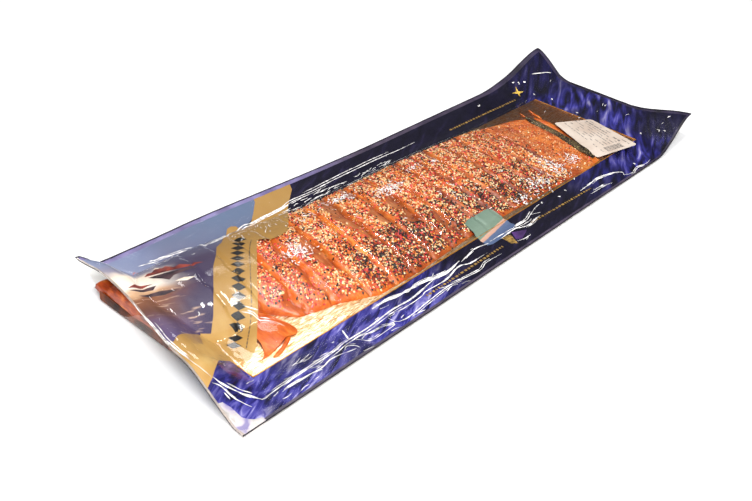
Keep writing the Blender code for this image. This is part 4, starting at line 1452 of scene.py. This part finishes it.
def scatter(name, seed, count, size, shape, finish, roughness=0.28, dense=0.0, x_span=SEASONED_X, fading=0.93,
            y_span=(-0.064, 0.070), near=1.0):
    """Lays bits of one kind on the seasoned tops of the slices, under the film."""
    chance = np.random.RandomState(seed)
    x = chance.uniform(*x_span, count * 6)
    y = chance.uniform(*y_span, count * 6)
    down, bare, steep, deepest = cut_shape(x, y)
    inside = within(x, y, OUTLINE)
    clump = patchy(x, y, 0.006, 0.006, seed + 7) + 0.6 * patchy(x, y, 0.022, 0.018, seed + 9)
    fade = 1.0 - fading * part_of(x, (0.126, 0.156))
    free_edge = ramp(from_edge(x, y) / 0.007)
    open_top = (1.0 - 0.97 * np.clip(bare * 1.5, 0, 1)) * (1.0 - 0.90 * steep)
    past_cut = slice_places(x - 0.0016, y)[0] == slice_places(x, y)[0]
    fade = fade * (1.0 + (near - 1.0) * part_of(-x, (0.140, 0.180)))
    wanted = (0.62 + 0.45 * clump + dense) * fade * free_edge * open_top * np.where(past_cut, 1.0, 0.15)
    kept = inside & (chance.uniform(0.0, 1.0, len(x)) < wanted)
    x = x[kept][:count]
    y = y[kept][:count]
    number = len(x)
    step = 0.0015
    base = fish_height(x, y)
    slope_x = (fish_height(x + step, y) - fish_height(x - step, y)) / (2 * step)
    slope_y = (fish_height(x, y + step) - fish_height(x, y - step)) / (2 * step)
    scale = chance.uniform(size[0], size[1], number) * np.array(shape)[:, None]
    shapes = [bit_shape(seed + 20 + k, roughness) for k in range(4)]
    kind = chance.randint(0, 4, number)
    turn = chance.uniform(0.0, 2 * math.pi, number)
    tilt = chance.uniform(-0.35, 0.35, (2, number))
    all_points = []
    all_faces = []
    all_shades = []
    total = 0
    for k in range(number):
        points, faces = shapes[kind[k]]
        a = points[:, 0] * scale[0, k]
        b = points[:, 1] * scale[1, k]
        c = points[:, 2] * scale[2, k]
        px = a * math.cos(turn[k]) - b * math.sin(turn[k])
        py = a * math.sin(turn[k]) + b * math.cos(turn[k])
        rise = (np.clip(slope_x[k], -1, 1) + tilt[0, k]) * px + (np.clip(slope_y[k], -1, 1) + tilt[1, k]) * py
        pz = base[k] + scale[2, k] * 0.22 + c + rise
        all_points.append(np.column_stack([x[k] + px, y[k] + py, pz]))
        all_faces.append(faces + total)
        all_shades.append(np.full(len(points), chance.uniform(0.0, 1.0)))
        total += len(points)
    mesh = bpy.data.meshes.new(name)
    mesh.from_pydata(np.vstack(all_points).tolist(), [], np.vstack(all_faces).tolist())
    made = bpy.data.objects.new(name, mesh)
    bpy.context.scene.collection.objects.link(made)
    set_measure(made, "shade", np.concatenate(all_shades))
    made.data.materials.append(finish)
    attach(made, body)
    return made


scatter("black_pepper", 101, 4400, (0.0010, 0.0021), (1.0, 0.85, 0.6),
        make_seasoning("cracked_pepper", "#060404", "#2c201a", 0.42))
scatter("red_pepper", 202, 4300, (0.0013, 0.0026), (1.0, 0.75, 0.35),
        make_seasoning("red_pepper_flake", "#a2110e", "#ff5254", 0.30), 0.35, near=1.5)
scatter("pale_granules", 303, 5200, (0.0011, 0.0022), (1.0, 0.9, 0.65),
        make_seasoning("pale_granule", "#dc9f4c", "#ffedc2", 0.36), near=0.5)
scatter("green_herbs", 404, 700, (0.0014, 0.0026), (1.0, 0.42, 0.25),
        make_seasoning("dried_herb", "#2b2c18", "#77774c", 0.55), 0.30)
scatter("orange_granules", 505, 2600, (0.0010, 0.0021), (1.0, 0.85, 0.6),
        make_seasoning("orange_granule", "#cf5814", "#ffb04a", 0.32), near=1.6)
scatter("belly_pepper", 707, 2800, (0.0012, 0.0023), (1.0, 0.85, 0.6),
        make_seasoning("coarse_pepper", "#050303", "#241712", 0.42), x_span=(-0.140, 0.120), y_span=(-0.062, -0.014))
scatter("belly_red_pepper", 808, 1500, (0.0013, 0.0024), (1.0, 0.75, 0.35),
        make_seasoning("dark_red_flake", "#5c0d0a", "#c22a2a", 0.30), 0.35, x_span=(-0.140, 0.120),
        y_span=(-0.062, -0.014))
scatter("fine_spice", 606, 3600, (0.0005, 0.0011), (1.0, 0.8, 0.6),
        make_seasoning("fine_spice", "#6d2408", "#f6c088", 0.40), x_span=(0.118, 0.207), fading=0.0)

# ---------------------------------------------------------------- creases and glints of the film
THIN = 0.0007
THICK = 0.0013
# The white of these ridges is a painted highlight: lines where the film's folds would glint.
creases = [
    (mm((-255, 80), (-215, 77), (-210, 65), (-194, 64), (-163, 76), (-151, 76), (-137, 77), (-115, 78), (-100, 81),
        (-75, 81), (-34, 83), (17, 84), (53, 83), (76, 83)), THIN, True),
    (mm((-153, 75), (-128, 77), (-108, 78)), THICK, True),
    (mm((-253, 80), (-245, 79), (-233, 78)), THIN, True),
    (mm((-264, 80), (-250, 77), (-250, 68)), THIN, True),
    (mm((-239, -12), (-232, -21)), THIN, True),
    (mm((-243, -15), (-238, -20), (-236, -27), (-231, -31), (-228, -37), (-226, -43)), THIN, True),
    (mm((-303, 32), (-306, 21), (-308, 6), (-310, -5), (-313, -20), (-314, -44), (-313, -52), (-311, -62)), THIN, True),
    (mm((-310, -62), (-308, -67), (-304, -72), (-299, -77), (-294, -81), (-288, -86)), THICK, True),
    (mm((-313, -65), (-309, -70), (-307, -77), (-303, -83), (-299, -88)), THIN, True),
    (mm((-288, -86), (-262, -85), (-222, -85), (-204, -83), (-178, -83), (-149, -81), (-128, -82), (-101, -79),
        (-85, -77)), 0.0010, True),
    (mm((-273, -90), (-265, -89), (-247, -90), (-235, -91), (-225, -89), (-212, -91)), THIN, True),
    (mm((-210, -89), (-206, -87), (-201, -91), (-200, -95)), THIN, True),
    (mm((-196, -85), (-189, -85), (-182, -88), (-171, -89), (-161, -94), (-167, -95), (-187, -95), (-193, -89),
        (-195.5, -86)), THIN, True),
    (mm((-159, -83), (-158, -92), (-154, -95), (-145, -96), (-121, -94), (-93, -92), (-75, -94), (-54, -96),
        (-42, -93), (-22, -94)), THIN, True),
    (mm((-157, -82), (-144, -86), (-120, -86), (-111, -84), (-94, -85), (-82, -84), (-69, -81), (-60, -81),
        (-53, -84), (-30, -85)), THIN, True),
    (mm((-159, -70), (-144, -70), (-125, -73), (-103, -74), (-91, -77), (-76, -79), (-57, -76)), 0.0026, True),
    (mm((-57, -78), (-45, -76), (-33, -74), (-17, -77)), 0.0010, True),
    (mm((-14, -76), (15, -77), (38, -78), (50, -75), (64, -71), (73, -70)), THIN, True),
    (mm((-3, -80), (20, -79), (26, -82), (37, -84), (50, -82), (56, -82)), THICK, True),
    (mm((51, -75), (61, -79)), THIN, True),
    (mm((5, -92), (13, -94), (23, -94)), THIN, True),
    (mm((123, -83), (142, -82), (158, -81), (176, -85), (187, -91), (184, -96)), THICK, True),
    (mm((184, -96), (194, -99), (209, -96), (222, -99), (233, -98)), THIN, True),
    (mm((126, -93), (150, -94), (161, -96)), THIN, True),
    (mm((290, 87), (305, 79), (311, 75)), THIN, True),
    (mm((-195, -72), (-199, -82)), THICK, True),
]
chance = np.random.RandomState(61)
for route, width, tapered in list(creases):
    points = rounded_route(route, 0.0015)
    for _ in range(3 if len(points) > 20 else 1):
        span = int(len(points) * chance.uniform(0.20, 0.55))
        first = chance.randint(0, max(1, len(points) - span))
        piece = points[first:first + span]
        if len(piece) < 4:
            continue
        aside = chance.uniform(-0.0026, 0.0026) + 0.0008 * np.cumsum(chance.uniform(-1, 1, len(piece))) / len(piece) * 4
        heading = np.gradient(piece, axis=0)
        heading /= np.hypot(heading[:, 0], heading[:, 1])[:, None]
        moved = piece + np.column_stack([-heading[:, 1], heading[:, 0]]) * np.atleast_1d(aside)[:, None]
        moved[:, 1] = np.clip(moved[:, 1], -0.1018, 0.1018)
        creases.append(([tuple(point) for point in moved[::3]], chance.uniform(0.0004, 0.0008), True))
# Small white arcs: painted glints on air dimples in the film.
for x0, y0, size in (
    (193, 91, 4.5), (264, 95, 3.0), (268, 90, 3.0), (277, 88, 3.0), (275, 70, 3.2), (277, 50, 3.0), (272, 12, 3.0),
    (259, 1, 3.0), (61, -64, 2.6), (79, -64, 2.4), (77, -71, 2.6), (99, -74, 2.6), (112, -73, 2.4), (286, -76, 5.0),
    (287, -83, 3.0), (280, -63, 3.0), (212, -91, 2.4), (308, -77, 3.0), (-210, -76, 2.6), (-228, 58, 3.0),
    (-271, 1, 3.2),
):
    start = chance.uniform(0.0, 2 * math.pi)
    arc = [(x0 / 1000 + size / 2000 * math.cos(start + k * 0.6), y0 / 1000 + size / 2000 * math.sin(start + k * 0.6))
           for k in range(5)]
    creases.append((arc, 0.0011, True))
# Short white lines in patches: painted glints on the film's crinkles.
for low, high, count, reach, lean in (
    ((-0.125, 0.063), (0.030, 0.078), 70, 0.014, 0.03),
    ((-0.190, 0.036), (-0.150, 0.066), 22, 0.005, 0.9),
    ((-0.290, -0.100), (-0.080, -0.070), 40, 0.010, 0.0),
    ((0.240, -0.080), (0.310, 0.090), 10, 0.005, 0.1),
):
    for _ in range(count):
        x0 = chance.uniform(low[0], high[0])
        y0 = chance.uniform(low[1], high[1])
        turn = lean + chance.uniform(-0.4, 0.4) * min(1.0, 0.008 / reach)
        length = reach * chance.uniform(0.4, 1.2)
        bow = chance.uniform(-0.1, 0.1) * length
        line = [(x0, y0), (x0 + length / 2 * math.cos(turn) - bow * math.sin(turn),
                           y0 + length / 2 * math.sin(turn) + bow * math.cos(turn)),
                (x0 + length * math.cos(turn), y0 + length * math.sin(turn))]
        creases.append((line, 0.0005, True))
film_creases = ridges("film_creases", creases, 0.45, lambda x, y: film_height(x, y), uneven=0.6)
finish_piece(film_creases, make_crease_glare())


# Fine wrinkles of the clinging film, painted white in patches as painted glints: middle, reach along and across, and
# number.
GLINT_PATCHES = ((-0.168, 0.003, 0.013, 0.010, 120), (-0.078, 0.040, 0.018, 0.006, 70), (-0.036, 0.022, 0.016, 0.010, 120),
                 (0.012, 0.034, 0.010, 0.006, 36), (0.040, 0.028, 0.008, 0.006, 20), (0.098, -0.052, 0.016, 0.010, 90),
                 (0.136, -0.044, 0.015, 0.016, 120), (0.168, -0.045, 0.012, 0.010, 60), (0.060, -0.058, 0.014, 0.006, 36),
                 (-0.120, 0.036, 0.020, 0.010, 26), (0.020, -0.020, 0.060, 0.020, 30))
glints = []
chance = np.random.RandomState(83)
for middle_x, middle_y, reach_x, reach_y, count in GLINT_PATCHES:
    for _ in range(count):
        x0 = middle_x + reach_x * chance.normal(0.0, 0.55)
        y0 = middle_y + reach_y * chance.normal(0.0, 0.55)
        turn = chance.uniform(0.0, math.pi)
        length = chance.uniform(0.0012, 0.0038)
        bow = chance.uniform(-0.35, 0.35) * length
        line = [(x0, y0), (x0 + length / 2 * math.cos(turn) - bow * math.sin(turn),
                           y0 + length / 2 * math.sin(turn) + bow * math.cos(turn)),
                (x0 + length * math.cos(turn), y0 + length * math.sin(turn))]
        glints.append((line, chance.uniform(0.0005, 0.0010), True))
fish_glints = ridges("fish_glints", glints, 0.40, lambda x, y: film_height(x, y))
finish_piece(fish_glints, film_creases.data.materials[0])


def edge_route(u_from, u_to, v_from, v_to, count=60):
    x, y = plan(np.linspace(u_from, u_to, count), np.linspace(v_from, v_to, count))
    return list(zip(x.tolist(), y.tolist()))


film_rim = ridges(
    "film_rim",
    [(edge_route(0, 1, -1, -1), 0.0011, False), (edge_route(1, 1, -1, 1), 0.0012, False),
     (edge_route(1, 0, 1, 1), 0.0011, False)],
    0.8, lambda x, y: film_height(x, y) - 0.0002, step=0.004)
finish_piece(film_rim, make_print("dark_rim", "#0c0913", "#211b2b", 80.0, 0.6))
tip_rim = ridges("tip_rim", [(edge_route(0, 0, 1, 0.80), 0.0008, True), (edge_route(0, 0, -0.30, -0.98), 0.0006, True)], 0.8,
                 lambda x, y: film_height(x, y) - 0.0001, step=0.003)
finish_piece(tip_rim, film_rim.data.materials[0])
near_rim = ridges("near_rim", [(edge_route(0.0025, 0.0025, 0.96, -1), 0.0008, False)], 0.8,
                  lambda x, y: film_height(x, y) - 0.0003, step=0.003)
finish_piece(near_rim, make_clear_seal())

# ---------------------------------------------------------------- the label
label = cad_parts["info_label"]
label.data.materials.clear()
label.data.materials.append(make_label_paper())


def on_label(short, long):
    """A point of the label, from its own centre and directions."""
    return (LABEL_CENTRE[0] + short * math.cos(LABEL_TURN) - long * math.sin(LABEL_TURN),
            LABEL_CENTRE[1] + short * math.sin(LABEL_TURN) + long * math.cos(LABEL_TURN))


chance = np.random.RandomState(71)
marks = []
for row in range(9):
    distance = -0.031 if row in (0, 8) else -0.021
    end = 0.031 if row not in (3, 7) else 0.018
    aside = 0.020 - row * 0.0042
    while distance < end:
        length = chance.uniform(0.002, 0.008)
        if chance.uniform(0.0, 1.0) < 0.7:
            marks.append((on_label(aside, distance + length / 2), length, 0.0009 + 0.0009 * (row == 1),
                          math.degrees(LABEL_TURN) + 90, False))
        distance += length + 0.0014
for bar in range(14):
    marks.append((on_label(-0.008 + bar * 0.0015, -0.0285), 0.0085, 0.0006 + 0.0005 * (bar % 3 == 0),
                  math.degrees(LABEL_TURN) + 90, False))
label_print = small_print("label_print", marks, make_print("label_ink", "#5f5955", "#8a827d", 300.0))
points = points_of(label_print)
points[:, 2] = label_height(points[:, 0], points[:, 1])[0] + LABEL_THICKNESS + 0.00006
set_points(label_print, points)

# ---------------------------------------------------------------- the table, the lights and the camera
bpy.ops.object.select_all(action="DESELECT")
bpy.ops.mesh.primitive_plane_add(size=9.0, location=(0.0, 0.0, -0.0004))
table_top = bpy.context.object
table_top.name = "table_top"
paper = new_material("table_white")
# Painted light: the floor glows more the farther it lies from the pouch, so its far parts stay white where the lamps
# light it less.
reach = node(paper.node_tree, "ShaderNodeVectorMath", {0: spots(paper.node_tree)}, operation="LENGTH").outputs["Value"]
far_glow = node(paper.node_tree, "ShaderNodeMapRange", {0: reach, 1: 0.8, 2: 3.0, 3: 0.0, 4: 0.9}).outputs[0]
surface(paper.node_tree, matter(paper.node_tree, linear("#fbfbfb"), 0.9, {"Emission Color": linear("#ffffff"),
                                                                          "Emission Strength": far_glow}))
table_top.data.materials.append(paper)

world = bpy.data.worlds.new("studio")
bpy.context.scene.world = world
world.use_nodes = True
sky = world.node_tree
backdrop = sky.nodes["Background"]
backdrop.inputs["Color"].default_value = linear("#ffffff")
upward = node(sky, "ShaderNodeSeparateXYZ", {"Vector": node(sky, "ShaderNodeTexCoord").outputs["Generated"]})
dome = node(sky, "ShaderNodeMapRange", {0: upward.outputs["Z"], 1: 0.75, 2: 0.96, 3: 0.10, 4: 0.70}).outputs[0]
seen = node(sky, "ShaderNodeLightPath").outputs["Is Camera Ray"]
strength = node(sky, "ShaderNodeMix", {0: seen, 2: dome, 3: 1.0}, data_type="FLOAT").outputs[0]
sky.links.new(strength, backdrop.inputs["Strength"])


def add_lamp(name, place, long_way, width, length, power):
    """A soft box at a place, facing the middle of the pouch, with its length along long_way."""
    bpy.ops.object.light_add(type="AREA")
    lamp = bpy.context.object
    lamp.name = name
    lamp.data.name = name
    lamp.data.shape = "RECTANGLE"
    lamp.data.size = width
    lamp.data.size_y = length
    lamp.data.energy = power
    lamp.location = place
    away = Vector(place).normalized()
    upward = Vector(long_way)
    upward = (upward - away * upward.dot(away)).normalized()
    aside = upward.cross(away)
    lamp.rotation_euler = Matrix((aside, upward, away)).transposed().to_euler()
    return lamp


add_lamp("overhead_box", (0.15, 0.10, 1.60), (1, 0, 0), 0.34, 0.34, 9.0)
add_lamp("card_box", (0.66, 0.84, 1.00), (1, 0, 0), 0.25, 0.30, 1.5)
add_lamp("key", (-1.05, -1.25, 1.75), (0, 0, 1), 1.3, 1.3, 72.0)

LENS_TARGET = Vector((-0.0944, -0.0166, 0.0))
LENS_BACK = Vector((-0.6472, -0.5222, 0.5554)).normalized()
LENS_DISTANCE = 0.8105
LENS_ROLL = math.radians(4.839)
lens = bpy.data.cameras.new("camera")
lens.lens = 46.22
lens.sensor_width = 36.0
lens.clip_start = 0.01
camera = bpy.data.objects.new("camera", lens)
bpy.context.scene.collection.objects.link(camera)
camera.location = LENS_TARGET + LENS_BACK * LENS_DISTANCE
camera.rotation_mode = "QUATERNION"
camera.rotation_quaternion = LENS_BACK.to_track_quat("Z", "Y") @ Quaternion((0, 0, 1), LENS_ROLL)
bpy.context.scene.camera = camera
bpy.context.scene.view_settings.view_transform = "Standard"
